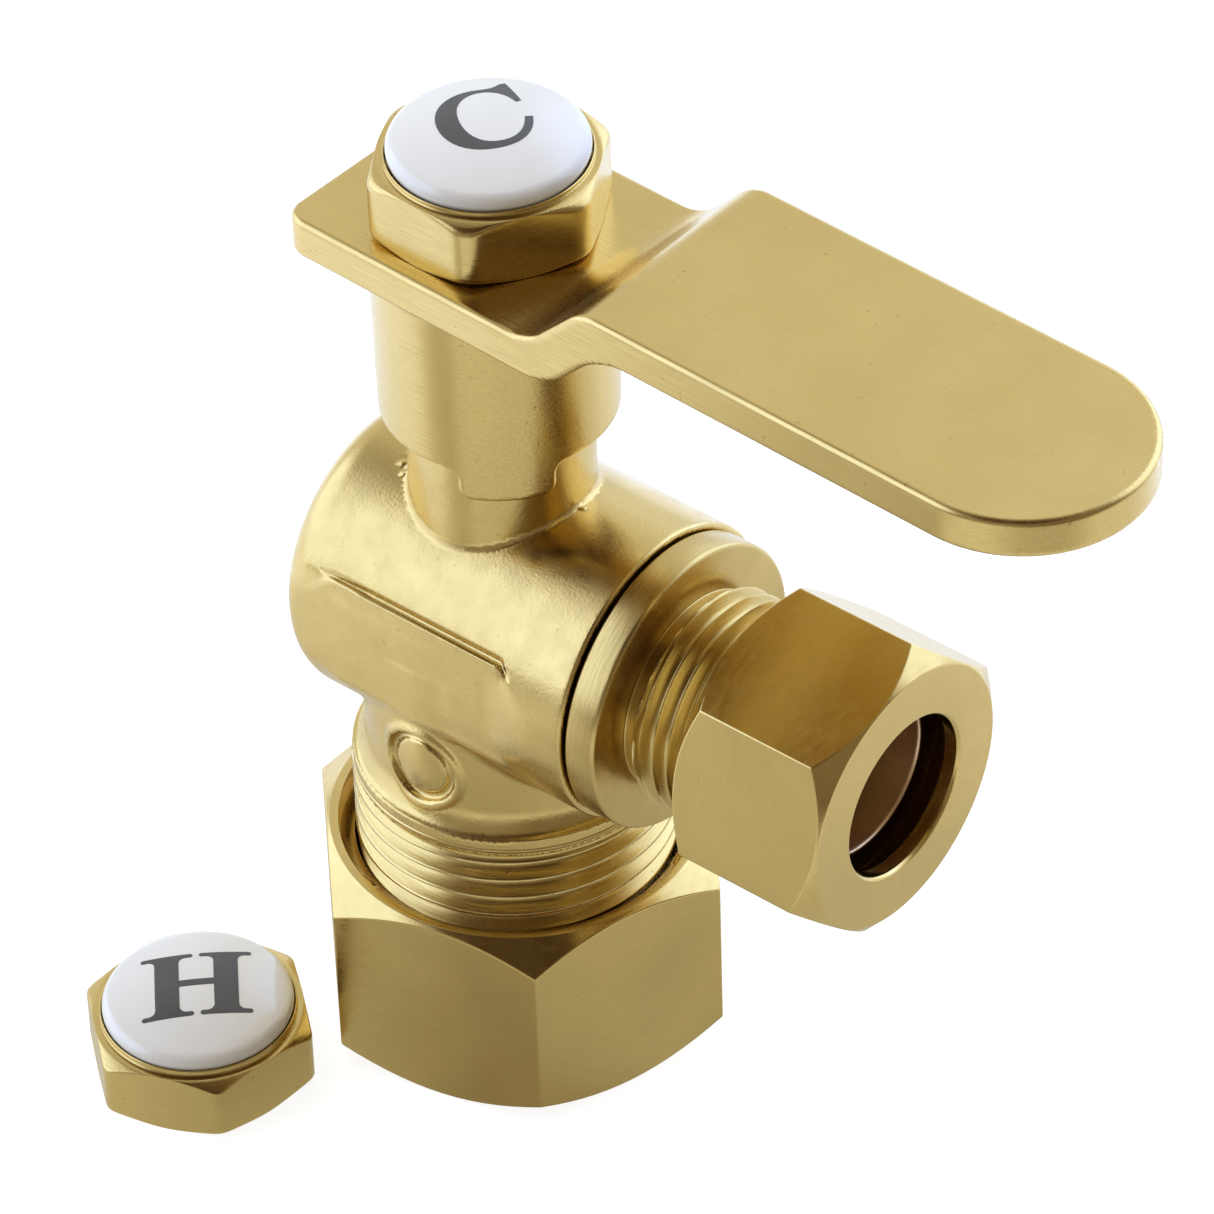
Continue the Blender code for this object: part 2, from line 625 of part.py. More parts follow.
def make_index_cap(nut_name, button_name, base, corner_angle, place):
    hollow = [
        (0, base + INDEX_THREAD_TOP),
        (INDEX_THREAD_RADIUS, base + INDEX_THREAD_TOP),
        (INDEX_THREAD_RADIUS, base),
    ]
    recess = [
        (INDEX_RECESS_RADIUS, base + INDEX_NUT_HEIGHT),
        (INDEX_RECESS_RADIUS, base + INDEX_RECESS_FLOOR),
        (0, base + INDEX_RECESS_FLOOR),
    ]
    top = base + INDEX_NUT_HEIGHT
    nut = part(
        nut_name,
        hexagon(INDEX_NUT_FLATS, base - MM, top + MM, corner_angle),
        (BRASS, 0.3, 1),
        location=place,
    )
    flat_radius = INDEX_NUT_FLATS / 2
    wide = INDEX_NUT_FLATS / math.sqrt(3) + 0.3 * MM
    slope = 0.4
    washer_top = base + 0.3 * MM
    outside = [
        (flat_radius - 0.4 * MM, base),
        (flat_radius - 0.4 * MM, washer_top),
        (flat_radius, washer_top),
        (wide, washer_top + slope * (wide - flat_radius)),
        (wide, top - slope * (wide - flat_radius)),
        (flat_radius, top),
    ]
    limit = tool(nut_name + "_limit", turned(hollow + outside + recess), location=place)
    combine(nut, "INTERSECT", limit)
    part(button_name, turned(button_profile(base)), (PORCELAIN, 0.08, 0), location=place)


def main():
    clear_scene()
    make_body()
    make_ball()
    make_seats()
    make_stem()
    make_retainer()
    make_inlet_fitting()
    make_outlet_fitting()
    make_lever()
    make_index_cap("index_nut", "cold_button", INDEX_NUT_SEAT, INDEX_NUT_CORNER, (0, 0, 0))
    make_index_cap("spare_index_nut", "hot_button", 0, SPARE_NUT_CORNER, (*SPARE_NUT_PLACE, 0))


main()
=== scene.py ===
"""Looks of the quarter-turn angle stop valve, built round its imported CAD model.

The forged body and the lever are smooth distance fields turned into meshes, the nuts and turned pieces
are profiles swept round their axes, and the threads are true helices. Shapes are worked out in
millimetres and scaled to metres when a mesh is made.
"""

import math

import bmesh
import bpy
import numpy as np
from mathutils import Matrix, Vector


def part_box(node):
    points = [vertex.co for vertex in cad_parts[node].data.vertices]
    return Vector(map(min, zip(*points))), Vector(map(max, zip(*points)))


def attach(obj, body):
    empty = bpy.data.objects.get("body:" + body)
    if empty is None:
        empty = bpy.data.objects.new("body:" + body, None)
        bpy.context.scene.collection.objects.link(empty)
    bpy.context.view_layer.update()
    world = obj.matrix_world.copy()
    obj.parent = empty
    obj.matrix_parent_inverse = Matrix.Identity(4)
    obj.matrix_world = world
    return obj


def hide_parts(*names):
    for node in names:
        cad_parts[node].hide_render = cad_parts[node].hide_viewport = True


MM = 0.001
GAP = 0.3  # between pieces that touch on the real valve
FAR = 9.0  # a distance that is never the smallest
GRID_MARGIN = 0.6  # kept clear round a shape when its mesh is read from its field

# Camera: millimetres, and degrees with azimuth 0 at the front
CAMERA_AIM = (8.898, -1.352, 36.176)
CAMERA_DISTANCE = 443.215
CAMERA_AZIMUTH = 40.3533
CAMERA_ELEVATION = 40.694
CAMERA_ROLL = -1.9191
CAMERA_LENS = 221.933
CAMERA_SENSOR = 36

# Forged body
BARREL_Z = 31.7
BARREL_RADIUS = 9.6
BARREL_ENDS = (-10.45, 11.75)
BARREL_CORNER = 2.3
CHEEK_FACE = 9.05
CHEEK_ENDS = (-8.15, 7.3)
CHEEK_HEIGHTS = (27.1, 35.75)
CHEEK_RUN_OUT = (1.9, 4.4)  # how far before its right end the flat starts to run out, and its length
CHEEK_FADE = (2.3, 2.6)  # how far past the left end the edges are still softened, and over what length
GROOVE_ROUTE = (  # x, degrees over the barrel's axis, and radius
    (-7.1, 24.9, 0.02),
    (-3.5, 24.9, 0.18),
    (6.7, 24.9, 0.21),
    (7.45, 20.6, 0.05),
)
NECK_RADIUS = 5.65
NECK_TOP = 52.0
LIP_RADIUS = 0.36  # of the ridge round the neck's foot
LIP_INSET = 0.17
LIP_DEPTH = 0.12
NECK_BURRS = (  # degrees round the neck's foot, distance out from the neck, and radius
    (-168, 0.35, 0.24),
    (-161, 0.25, 0.2),
    (-154, 0.5, 0.22),
    (-147, 0.3, 0.2),
    (2, 0.3, 0.2),
    (110, 0.3, 0.2),
)
STOP_HALF_SPAN = math.radians(67)
STOP_BOSS_MIDDLE = math.radians(137)
STOP_BOSS_HEIGHT = 1.3
BOSS_RADIUS = 9.1
BOSS_FLARE = 0.6
BOSS_FLARE_HEIGHT = 1.5
CAST_RING_Z = 24.25
CAST_RING_SHIFT = 0.25  # from the front towards the right
CAST_RING_RADIUS = 2.72
CAST_RING_BEAD = 0.26
CAST_CUT_RADIUS = 2.2  # of the groove inside the ring
CAST_DOME_RADIUS = 1.9
CAST_DOME_HEIGHT = 0.16
SHOULDER_Z = 20.5
BODY_BOTTOM = 19.3
BODY_GRID = 0.225  # spacing at which the mesh is read
BODY_GRID_HALF_DEPTH = 10.9
BODY_GRID_TOP = NECK_TOP + 2.0
CHAMBER_RADIUS = 6.9
CHAMBER_LEFT = -7.9
POCKET_RADIUS = 7.7
POCKET_LEFT = 6.2
SEAL_POCKET_RADIUS = 8.6
SEAL_POCKET_LEFT = 10.3
STEM_BORE_RADIUS = 4.0
COLLAR_BORE_RADIUS = 4.9
COLLAR_BORE_TOP = 41.5
WATERWAY_RADIUS = 4.0

# Inlet
INLET_THREAD_RADIUS = 10.05
INLET_THREAD_PITCH = 25.4 / 18
INLET_THREAD_DEPTH = 0.85
INLET_THREAD_COLUMNS = 180
INLET_SPIGOT_END = 7.6
INLET_SOCKET_RADIUS = 8.05
INLET_SOCKET_TOP = 17.0
INLET_NUT_FLATS = 23.81
INLET_NUT_HEIGHT = 14.2
INLET_NUT_WEB = 2.2
INLET_NUT_CORNER = math.radians(-46.4)
INLET_FERRULE = (8.9, 2.9, 8.0)  # outer radius, bottom, top

# Outlet, as distances along its own axis
PORT_RADIUS = 3.4
RETAINER_LEFT = 6.6
RETAINER_THREAD_RADIUS = 7.4
RETAINER_THREAD_END = 10.0
RETAINER_GROOVE_RADIUS = 6.9
FLANGE_RADIUS = 9.27
FLANGE_FACES = (11.92, 14.08)
FLANGE_EDGES = [0.22, 0.28]
OUTLET_THREAD_RADIUS = 7.05
OUTLET_THREAD_PITCH = 25.4 / 24
OUTLET_THREAD_DEPTH = 0.7
OUTLET_THREAD_LEFT = 15.0
OUTLET_END = 23.6
OUTLET_SOCKET_RADIUS = 4.85
OUTLET_SOCKET_LEFT = 18.5
OUTLET_NUT_FLATS = 17.2
OUTLET_NUT_ENDS = (19.45, 30.1)
OUTLET_NUT_WEB_LEFT = 29.05
OUTLET_NUT_CORNER = math.radians(47.1)
OUTLET_HOLE_RADIUS = 5.2
OUTLET_FERRULE = (5.6, 22.9, 27.4)
THREAD_CLEARANCE = 0.1

# Lever
LEVER_YAW = math.radians(-2.2)
LEVER_HALF_WIDTH = 7.75
LEVER_ENDS = (-9.5, 47.0)
HUB_FACES = (58.1, 60.65)
HUB_CORNER = 1.6
STEP_FOOT = 9.4
STEP_RISE = 4.15
STEP_EDGE = 0.8
STEP_FILLET = 1.0
LOWER_STEP_FOOT = 10.9
LOWER_STEP_ROUNDING = 1.3
SKIRT_BOTTOM = 46.9
SKIRT_RADIUS = 7.15
SKIRT_TAPER = 0.2  # how much wider it is at the plate than at the tab's bottom
SKIRT_BORE_RADIUS = 6.25
SKIRT_CEILING = 54.6
TAB_BOTTOM = 44.75
TAB_MIDDLE = math.radians(-44.5)
TAB_HALF_WIDTH = 3.05
TAB_CORNER = 0.9
TAB_FILLET = 0.7
LUG_INNER_RADIUS = 4.2
SQUARE_HALF_WIDTH = 2.6
LEVER_GRID = 0.24

# Index nuts and buttons, measured up from the nut's seat
INDEX_FLATS = 13.1
INDEX_HEIGHT = 4.05
INDEX_CORNER = math.radians(-61.5)
SPARE_CORNER = math.radians(-39.3)
RECESS_RADIUS = 5.3
RECESS_FLOOR = 3.4
INDEX_THREAD_RADIUS = 2.6
INDEX_THREAD_TOP = 2.95
BUTTON_PLUG_RADIUS = 5.0
BUTTON_RIM_RADIUS = 5.98
BUTTON_RIM_CENTRE = INDEX_HEIGHT + GAP + 0.25
BUTTON_EDGE = 0.75
BUTTON_EDGE_ENDS = (-60, 70)  # degrees from level, below and above
BUTTON_CROWN = 0.75
LETTER_TURN = math.radians(45.3)
LETTER_LEAN = 0.045
LETTER_HEIGHT = 0.025  # proud of the dome
LETTER_DEPTH = 0.12

ROUND_COLUMNS = 144

# Colours
BRASS = (0.72, 0.535, 0.205)
# Brass darkened as painted shade, for the turned retainer with its flange and outlet thread
SHADED_TURNED_BRASS = (0.63, 0.46, 0.17)
# The ferrules' own pinkish brass, lightened as painted light so that their shaded bores look brighter
SOFT_BRASS_LIGHTENED = (0.98, 0.72, 0.5)
# Painted highlight colour, laid on sharp edges
EDGE_HIGHLIGHT_BRASS = (0.9, 0.76, 0.42, 1)
# Painted shade colour, laid in creases
CREASE_SHADE = (0.16, 0.08, 0.02, 1)
PIT = (0.25, 0.15, 0.05, 1)
PORCELAIN = (0.83, 0.797, 0.735)

# Light: grey levels, and the colour that each is given
TONES = (
    (0.0, (0, 0, 0)),
    (0.15, (0.18, 0.12, 0.07)),
    (0.5, (0.5, 0.5, 0.44)),
    (0.84, (0.84, 0.86, 0.84)),
    (1.1, (1.08, 1.17, 1.32)),
    (1.35, (1.3, 1.5, 2.0)),
    (1.8, (1.6, 1.95, 2.8)),
)
TONE_RANGE = 1.8
TONE_PEAK = 3.0

# Overhead light: azimuth and elevation in degrees, lengths in metres
SOFTBOX_HEADING = (-60, 70)
SOFTBOX_DISTANCE = 0.9
SOFTBOX_SIZE = 0.8
SOFTBOX_RADIANCE = 1.6

# Bright and dim parts of the studio: azimuth, elevation, the cosines over which each grows, and its amount
STUDIO_LEVEL = 0.31
STUDIO_LIGHTS = (
    (-57, 16, 0.7, 0.88, 1.3),
    (-145, 12, 0.3, 0.92, 0.52),
    (165, 20, 0.68, 0.9, 1.2),
    (78, 12, 0.55, 0.9, -0.08),
    (25, 62, 0.72, 0.97, -0.24),
)

# Bright and dim parts of the floor that the metal mirrors: azimuth, the cosines over which each grows,
# and the distances and amounts that it changes between
FLOOR_CENTRE = (8 * MM, 0, 0)
FLOOR_LEVEL = 0.86
FLOOR_BRIGHT_SIDE = -125
FLOOR_PATCHES = (
    (-20, (0.955, 0.99), (0.035, 0.055), (0.0, -0.3)),
    (62, (0.85, 0.97), (0.08, 0.1), (0.0, -0.3)),
    (107, (0.2, 0.9), (0.025, 0.044), (0.2, 0.0)),
    (-13, (0.6, 0.97), (0.025, 0.044), (-0.2, 0.0)),
)


# -------------------- meshes


def weld(points, faces):
    """Joins points that coincide, and drops the faces that this flattens."""
    _, first, index = np.unique(np.round(points, 5), axis=0, return_index=True, return_inverse=True)
    tidy = []
    for face in index.reshape(-1)[np.asarray(faces)].tolist():
        ring = [a for a, b in zip(face, face[1:] + face[:1]) if a != b]
        if len(ring) > 2:
            tidy.append(ring)
    return points[first], tidy


def make_mesh(name, points, faces, normals=None):
    """A smooth mesh from points in millimetres."""
    mesh = bpy.data.meshes.new(name)
    mesh.from_pydata((np.asarray(points, float) * MM).tolist(), [], np.asarray(faces, object).tolist())
    if normals is None:
        shape = bmesh.new()
        shape.from_mesh(mesh)
        bmesh.ops.recalc_face_normals(shape, faces=shape.faces)
        shape.to_mesh(mesh)
        shape.free()
    mesh.shade_smooth()
    if normals is not None:
        mesh.normals_split_custom_set_from_vertices(normals.tolist())
    return mesh


def add_piece(name, mesh, look, slot, body, *nodes):
    """Puts a mesh in the scene on its CAD body, in place of the CAD nodes named."""
    piece = bpy.data.objects.new(name, mesh)
    bpy.context.scene.collection.objects.link(piece)
    mesh.materials.append(look)
    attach(piece, body)
    if nodes:
        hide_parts(*nodes)
    return piece


def weigh_normals(piece):
    """Keeps flats flat where they meet narrow rounded edges."""
    modifier = piece.modifiers.new("weighted_normals", "WEIGHTED_NORMAL")
    modifier.mode = "FACE_AREA"
    modifier.weight = 80


def along_x(points):
    """Turns a shape made round Z so that it runs along X, on the barrel's axis."""
    return np.stack([points[:, 2], points[:, 1], BARREL_Z - points[:, 0]], 1)


def soften(profile, cut, steps=4):
    """Rounds an open profile's corners; cut is how far from a corner its curve starts, or one for each."""
    profile = [np.array(point, float) for point in profile]
    cuts = cut if isinstance(cut, (list, tuple)) else [cut] * (len(profile) - 2)
    made = [profile[0]]
    for before, corner, after, reach in zip(profile, profile[1:], profile[2:], cuts):
        arms = []
        for other in (before, after):
            length = np.linalg.norm(other - corner)
            arms.append(corner + (other - corner) * min(reach, 0.49 * length) / max(length, 1e-9))
        for i in range(steps + 1):
            t = i / steps
            made.append((1 - t) ** 2 * arms[0] + 2 * t * (1 - t) * corner + t * t * arms[1])
    made.append(profile[-1])
    return made


def swept(angles, profiles, closed):
    """Points and faces of profiles of (radius, height), one at each angle round Z."""
    profiles = np.array(profiles)
    columns, rows = profiles.shape[:2]
    angles = np.asarray(angles)[:, None]
    radius, height = profiles[:, :, 0], profiles[:, :, 1]
    points = np.stack([radius * np.cos(angles), radius * np.sin(angles), height], 2).reshape(-1, 3)
    index = np.arange(columns * rows).reshape(columns, rows)
    following = np.roll(index, -1, axis=0)
    last = rows if closed else rows - 1
    faces = [
        np.stack([index[:, i], following[:, i], following[:, (i + 1) % rows], index[:, (i + 1) % rows]], 1)
        for i in range(last)
    ]
    return points, np.concatenate(faces)


def turned(profile, columns=ROUND_COLUMNS, closed=True):
    angles = np.arange(columns) * 2 * math.pi / columns
    return swept(angles, [profile] * columns, closed)


def smooth_step(value):
    value = np.clip(value, 0, 1)
    return value * value * (3 - 2 * value)


def thread_sheet(start, end, pitch, radius, depth, fades, chamfer, columns=ROUND_COLUMNS, rows=16):
    """A right-handed screw thread's surface, which follows its helix and ends in plain rings.

    fades are the lengths over which the groove grows in from start and dies out before end, and
    chamfer is the cone cut on the start and on the end.
    """
    count = math.ceil(rows * ((end - start) / pitch + 1))
    i, j = np.meshgrid(np.arange(count + 1), np.arange(columns), indexing="ij")
    height = np.clip(start - pitch + pitch * (i / rows + j / columns), start, end)
    groove = np.abs(np.sin(math.pi * i / rows)) ** 0.95
    fade = smooth_step((height - start) / fades[0]) * smooth_step((end - height) / fades[1])
    reach = radius - depth * groove * fade
    reach = np.minimum(reach, radius - chamfer[0] + (height - start))
    reach = np.minimum(reach, radius - chamfer[1] + (end - height))
    angle = j * 2 * math.pi / columns
    points = np.stack([reach * np.cos(angle), reach * np.sin(angle), height], 2).reshape(-1, 3)
    index = i * columns + j
    seam = np.minimum(i[:, :1] + rows, count) * columns
    following = np.concatenate([index[:, 1:], seam], 1)
    faces = np.stack([index[:-1], following[:-1], following[1:], index[1:]], 2).reshape(-1, 4)
    return points, faces


def join(*shapes):
    """Several (points, faces) as one."""
    points, faces, count = [], [], 0
    for some_points, some_faces in shapes:
        points.append(some_points)
        faces.append(np.asarray(some_faces) + count)
        count += len(some_points)
    return np.concatenate(points), np.concatenate(faces)


def hexagon_outline(flats, corner_angle, rounding, flat_steps=14, corner_steps=4):
    """Angles and radii round a hexagon with rounded corners."""
    apothem = flats / 2
    half = math.tan(math.radians(30)) * (apothem - rounding)
    centre = (apothem - rounding) / math.cos(math.radians(30))
    places = []
    for side in range(6):
        corner = corner_angle + math.radians(60) * side
        normal = corner + math.radians(30)
        for i in range(1, corner_steps):
            turn = corner + math.radians(60 * i / corner_steps - 30)
            x = centre * math.cos(corner) + rounding * math.cos(turn)
            y = centre * math.sin(corner) + rounding * math.sin(turn)
            places.append((x, y))
        for i in range(flat_steps + 1):
            along = half * (2 * i / flat_steps - 1)
            x = apothem * math.cos(normal) - along * math.sin(normal)
            y = apothem * math.sin(normal) + along * math.cos(normal)
            places.append((x, y))
    places = np.array(places)
    angles = np.unwrap(np.arctan2(places[:, 1], places[:, 0]))
    return angles, np.hypot(places[:, 0], places[:, 1])


def hexagon_nut(flats, ends, corner_angle, hollow, rounding, slope, edge, face_inset=0.0):
    """A nut round Z: rounded corners, cone chamfers of that slope, and a hollow from top to bottom.

    hollow is its inner profile, from the top face's inner edge to the bottom face's. face_inset is how
    far inside the flats the end faces stop, and edge is the rounding of the chamfers' edges.
    """
    bottom, top = ends
    face = flats / 2 - face_inset
    angles, radii = hexagon_outline(flats, corner_angle, rounding)
    profiles = []
    for radius in radii:
        drop = slope * max(radius - face, 0)
        inner = min(radius, face)
        outside = [(inner, bottom), (radius, bottom + drop), (radius, top - drop), (inner, top)]
        middle = (hollow[-1][0] + 0.02, bottom)
        closing = (hollow[0][0] + 0.02, top)
        profiles.append([*soften([middle, *outside, closing], edge), *soften(hollow, 0.1)])
    return swept(angles, profiles, True)


def surface_net(distance, low, high, step, refine=4):
    """A mesh of a distance field's zero surface, and its normals. The field is negative inside."""
    low = np.array(low, float)
    axes = [np.arange(a, b + step, step) for a, b in zip(low, high)]
    field = distance(*np.meshgrid(*axes, indexing="ij"))
    inside = field < 0
    flat = field.ravel()
    stride = np.array([field.shape[1] * field.shape[2], field.shape[2], 1])
    quads, places = [], []
    for axis in range(3):
        after, last = (axis + 1) % 3, (axis + 2) % 3
        near, far = [slice(None)] * 3, [slice(None)] * 3
        near[axis], far[axis] = slice(None, -1), slice(1, None)
        crossed = np.argwhere(inside[tuple(near)] != inside[tuple(far)])
        start = crossed @ stride
        value, following = flat[start], flat[start + stride[axis]]
        place = crossed.astype(float)
        place[:, axis] += value / (value - following)
        corner = start - stride[after] - stride[last]
        ring = np.stack([corner, corner + stride[after], start, corner + stride[last]], 1)
        ring[value > 0] = ring[value > 0][:, ::-1]
        quads.append(ring)
        places.append(np.repeat(place[:, None], 4, 1))
    places = np.concatenate(places).reshape(-1, 3)
    _, index = np.unique(np.concatenate(quads), return_inverse=True)
    index = index.reshape(-1)
    counts = np.bincount(index)
    points = np.stack([np.bincount(index, places[:, k]) / counts for k in range(3)], 1)
    points = low + points * step
    for _ in range(refine):
        value, slope = field_slope(distance, points)
        move = slope * (value / np.maximum((slope**2).sum(1), 0.05))[:, None]
        size = np.linalg.norm(move, axis=1, keepdims=True)
        points -= move * np.minimum(1, 0.4 * step / np.maximum(size, 1e-9))
    _, slope = field_slope(distance, points)
    normals = slope / np.maximum(np.linalg.norm(slope, axis=1, keepdims=True), 1e-9)
    return points, index.reshape(-1, 4), normals


def field_slope(distance, points, reach=0.02):
    """A field's value and gradient at points."""
    x, y, z = points.T
    slope = [
        distance(x + dx, y + dy, z + dz) - distance(x - dx, y - dy, z - dz)
        for dx, dy, dz in np.eye(3) * reach
    ]
    return distance(x, y, z), np.stack(slope, 1) / (2 * reach)


def join_round(a, b, radius):
    """Union of two fields with a fillet."""
    fillet = np.hypot(np.maximum(radius - a, 0), np.maximum(radius - b, 0))
    return np.maximum(radius, np.minimum(a, b)) - fillet


def meet_round(a, b, radius):
    """Intersection of two fields with a rounded edge."""
    return -join_round(-a, -b, radius)


def capsule(x, y, z, start, end, radii):
    """Distance to a round bar between two points, from one radius to the other."""
    start, end = np.array(start), np.array(end)
    along = end - start
    t = (x - start[0]) * along[0] + (y - start[1]) * along[1] + (z - start[2]) * along[2]
    t = np.clip(t / (along @ along), 0, 1)
    dx, dy, dz = x - start[0] - t * along[0], y - start[1] - t * along[1], z - start[2] - t * along[2]
    return np.sqrt(dx * dx + dy * dy + dz * dz) - (radii[0] + t * (radii[1] - radii[0]))


def angle_window(x, y, middle, half, radius):
    """Distance round Z, measured at a radius, to a window of angles."""
    angle = np.arctan2(y, x) - middle
    angle = (angle + math.pi) % (2 * math.pi) - math.pi
    return (np.abs(angle) - half) * radius


# -------------------- forged body


def barrel_point(x, degrees):
    """A point on the barrel's front, that many degrees above its axis."""
    turn = math.radians(degrees)
    return (x, -BARREL_RADIUS * math.cos(turn), BARREL_Z + BARREL_RADIUS * math.sin(turn))


def barrel_distance(x, y, z):
    """The barrel with its flat cheeks, whose top edge stands proud behind a groove."""
    up = z - BARREL_Z
    around = np.hypot(y, up) - BARREL_RADIUS
    left, right = BARREL_ENDS
    side = np.abs(y)
    rise = smooth_step((x - CHEEK_ENDS[1] + CHEEK_RUN_OUT[0]) / CHEEK_RUN_OUT[1])
    flat = side - CHEEK_FACE - (BARREL_RADIUS - CHEEK_FACE + 0.2) * rise
    barrel = meet_round(around, left - x, BARREL_CORNER)
    barrel = meet_round(barrel, x - right, 0.2)
    barrel = meet_round(barrel, flat, 0.35)
    fade = smooth_step((CHEEK_ENDS[0] + CHEEK_FADE[0] - x) / CHEEK_FADE[1])
    cheek = meet_round(side - CHEEK_FACE, x - CHEEK_ENDS[1], 0.6)
    cheek = meet_round(cheek, left - x, BARREL_CORNER)
    cheek = meet_round(cheek, z - CHEEK_HEIGHTS[1] + 0.95 * fade, 0.22 + 0.8 * fade)
    cheek = meet_round(cheek, CHEEK_HEIGHTS[0] - z, 1.1 + 0.9 * fade)
    return join_round(barrel, cheek, 0.12)


def cheek_groove(x, y, z):
    """The groove over a cheek's top edge, and its hook at the right. It is the same on the back."""
    front = -np.abs(y)
    stops = [(barrel_point(along, degrees), radius) for along, degrees, radius in GROOVE_ROUTE]
    bars = [
        capsule(x, front, z, start, end, (radius, next_radius))
        for (start, radius), (end, next_radius) in zip(stops, stops[1:])
    ]
    return np.minimum.reduce(bars)


def boss_distance(x, y, z):
    """The lower boss, its flare to the thread's shoulder, and a plain cast ring on its front."""
    radius = np.hypot(x, y)
    angle = np.arctan2(y, x)
    wander = 0.04 * np.sin(7 * angle)
    flare = BOSS_FLARE * np.clip((SHOULDER_Z + BOSS_FLARE_HEIGHT - z) / BOSS_FLARE_HEIGHT, 0, 1) ** 1.6
    across = BOSS_RADIUS * np.arctan2(x, -y) - CAST_RING_SHIFT
    from_middle = np.hypot(across, z - CAST_RING_Z)
    front = y < 0
    dome = CAST_DOME_HEIGHT * np.clip(1 - (from_middle / CAST_DOME_RADIUS) ** 2, 0, 1) * front
    boss = meet_round(radius - (BOSS_RADIUS + flare + dome), z - BARREL_Z, 0.2)
    band = meet_round(radius - INLET_THREAD_RADIUS + 0.08, z - SHOULDER_Z - wander, 0.12)
    boss = join_round(boss, band, 0.22)
    shell = radius - (BOSS_RADIUS + flare)
    bead = np.hypot(from_middle - CAST_RING_RADIUS, shell + 0.05) - CAST_RING_BEAD
    cut = np.hypot(from_middle - CAST_CUT_RADIUS, shell) - CAST_RING_BEAD
    boss = join_round(boss, np.where(front, bead, FAR), 0.3)
    return meet_round(boss, -np.where(front, cut, FAR), 0.12)


def neck_burrs(x, y, z):
    """Small burrs left where the neck was turned down to the barrel."""
    made = np.full_like(x, FAR)
    for degrees, out, size in NECK_BURRS:
        turn = math.radians(degrees)
        reach = NECK_RADIUS + out
        px, py = reach * math.cos(turn), reach * math.sin(turn)
        pz = BARREL_Z + math.sqrt(BARREL_RADIUS**2 - py * py) - 0.12
        ball = np.sqrt((x - px) ** 2 + (y - py) ** 2 + (z - pz) ** 2) - size
        made = np.minimum(made, ball)
    return made


def body_outside(x, y, z):
    """The forging without its hollow: barrel, neck, stop boss and lower boss."""
    radius = np.hypot(x, y)
    barrel = barrel_distance(x, y, z)
    neck = meet_round(radius - NECK_RADIUS, z - NECK_TOP, 0.3)
    lip = np.hypot(radius - NECK_RADIUS + LIP_INSET, barrel + LIP_DEPTH) - LIP_RADIUS
    upper = join_round(join_round(barrel, neck, 0.05), lip, 0.1)
    upper = join_round(upper, neck_burrs(x, y, z), 0.15)
    upper = meet_round(upper, -cheek_groove(x, y, z), 0.16)
    stop = angle_window(x, y, STOP_BOSS_MIDDLE, STOP_HALF_SPAN, NECK_RADIUS)
    stop = np.maximum(np.maximum(radius - NECK_RADIUS + 0.05, NECK_TOP - 0.5 - z), stop)
    stop = np.maximum(stop, z - NECK_TOP - STOP_BOSS_HEIGHT)
    return np.minimum(join_round(upper, boss_distance(x, y, z), 0.3), stop)


def body_hollow(x, y, z):
    """The inlet socket, the waterway, the chamber with the retainer's pockets, and the stem's bore."""
    radius = np.hypot(x, y)
    around = np.hypot(y, z - BARREL_Z)
    socket = np.maximum(radius - INLET_SOCKET_RADIUS, z - INLET_SOCKET_TOP)
    waterway = np.maximum(radius - WATERWAY_RADIUS, z - BARREL_Z)
    chamber = np.maximum(around - CHAMBER_RADIUS, CHAMBER_LEFT - x)
    pocket = np.maximum(around - POCKET_RADIUS, POCKET_LEFT - x)
    seal = np.maximum(around - SEAL_POCKET_RADIUS, SEAL_POCKET_LEFT - x)
    collar = np.maximum(np.maximum(radius - COLLAR_BORE_RADIUS, z - COLLAR_BORE_TOP), BARREL_Z - z)
    stem = np.maximum(radius - STEM_BORE_RADIUS, BARREL_Z - z)
    return np.minimum.reduce([socket, waterway, chamber, pocket, seal, collar, stem])


def body_distance(x, y, z):
    shape = meet_round(body_outside(x, y, z), -body_hollow(x, y, z), 0.12)
    return np.maximum(shape, BODY_BOTTOM - z)


def make_body(looks):
    """The forging, and its threaded inlet spigot below the shoulder."""
    low = (BARREL_ENDS[0] - GRID_MARGIN, -BODY_GRID_HALF_DEPTH, BODY_BOTTOM - GRID_MARGIN)
    high = (BARREL_ENDS[1] + GRID_MARGIN, BODY_GRID_HALF_DEPTH, BODY_GRID_TOP)
    mesh = make_mesh("forged_body", *surface_net(body_distance, low, high, BODY_GRID))
    add_piece("forged_body", mesh, looks["forged"], "forged_brass", "valve", "valve_body")

    top = BODY_BOTTOM + 0.5
    radius = INLET_THREAD_RADIUS - 0.01
    chamfer = 0.8
    mouth_chamfer = 1.0
    sheet = thread_sheet(
        INLET_SPIGOT_END, top, INLET_THREAD_PITCH, radius, INLET_THREAD_DEPTH,
        fades=(0.6, 1.6), chamfer=(chamfer, 0), columns=INLET_THREAD_COLUMNS,
    )
    rest = soften(
        [
            (radius, top),
            (INLET_THREAD_RADIUS - 0.7, top + 0.3),
            (INLET_SOCKET_RADIUS, top + 0.3),
            (INLET_SOCKET_RADIUS, INLET_SPIGOT_END + mouth_chamfer),
            (INLET_SOCKET_RADIUS + mouth_chamfer, INLET_SPIGOT_END),
            (radius - chamfer, INLET_SPIGOT_END),
        ],
        0.08,
    )
    points, faces = weld(*join(sheet, turned(rest, INLET_THREAD_COLUMNS, closed=False)))
    mesh = make_mesh("inlet_spigot", points, faces)
    add_piece("inlet_spigot", mesh, looks["thread_z"], "forged_brass", "valve")


# -------------------- lever


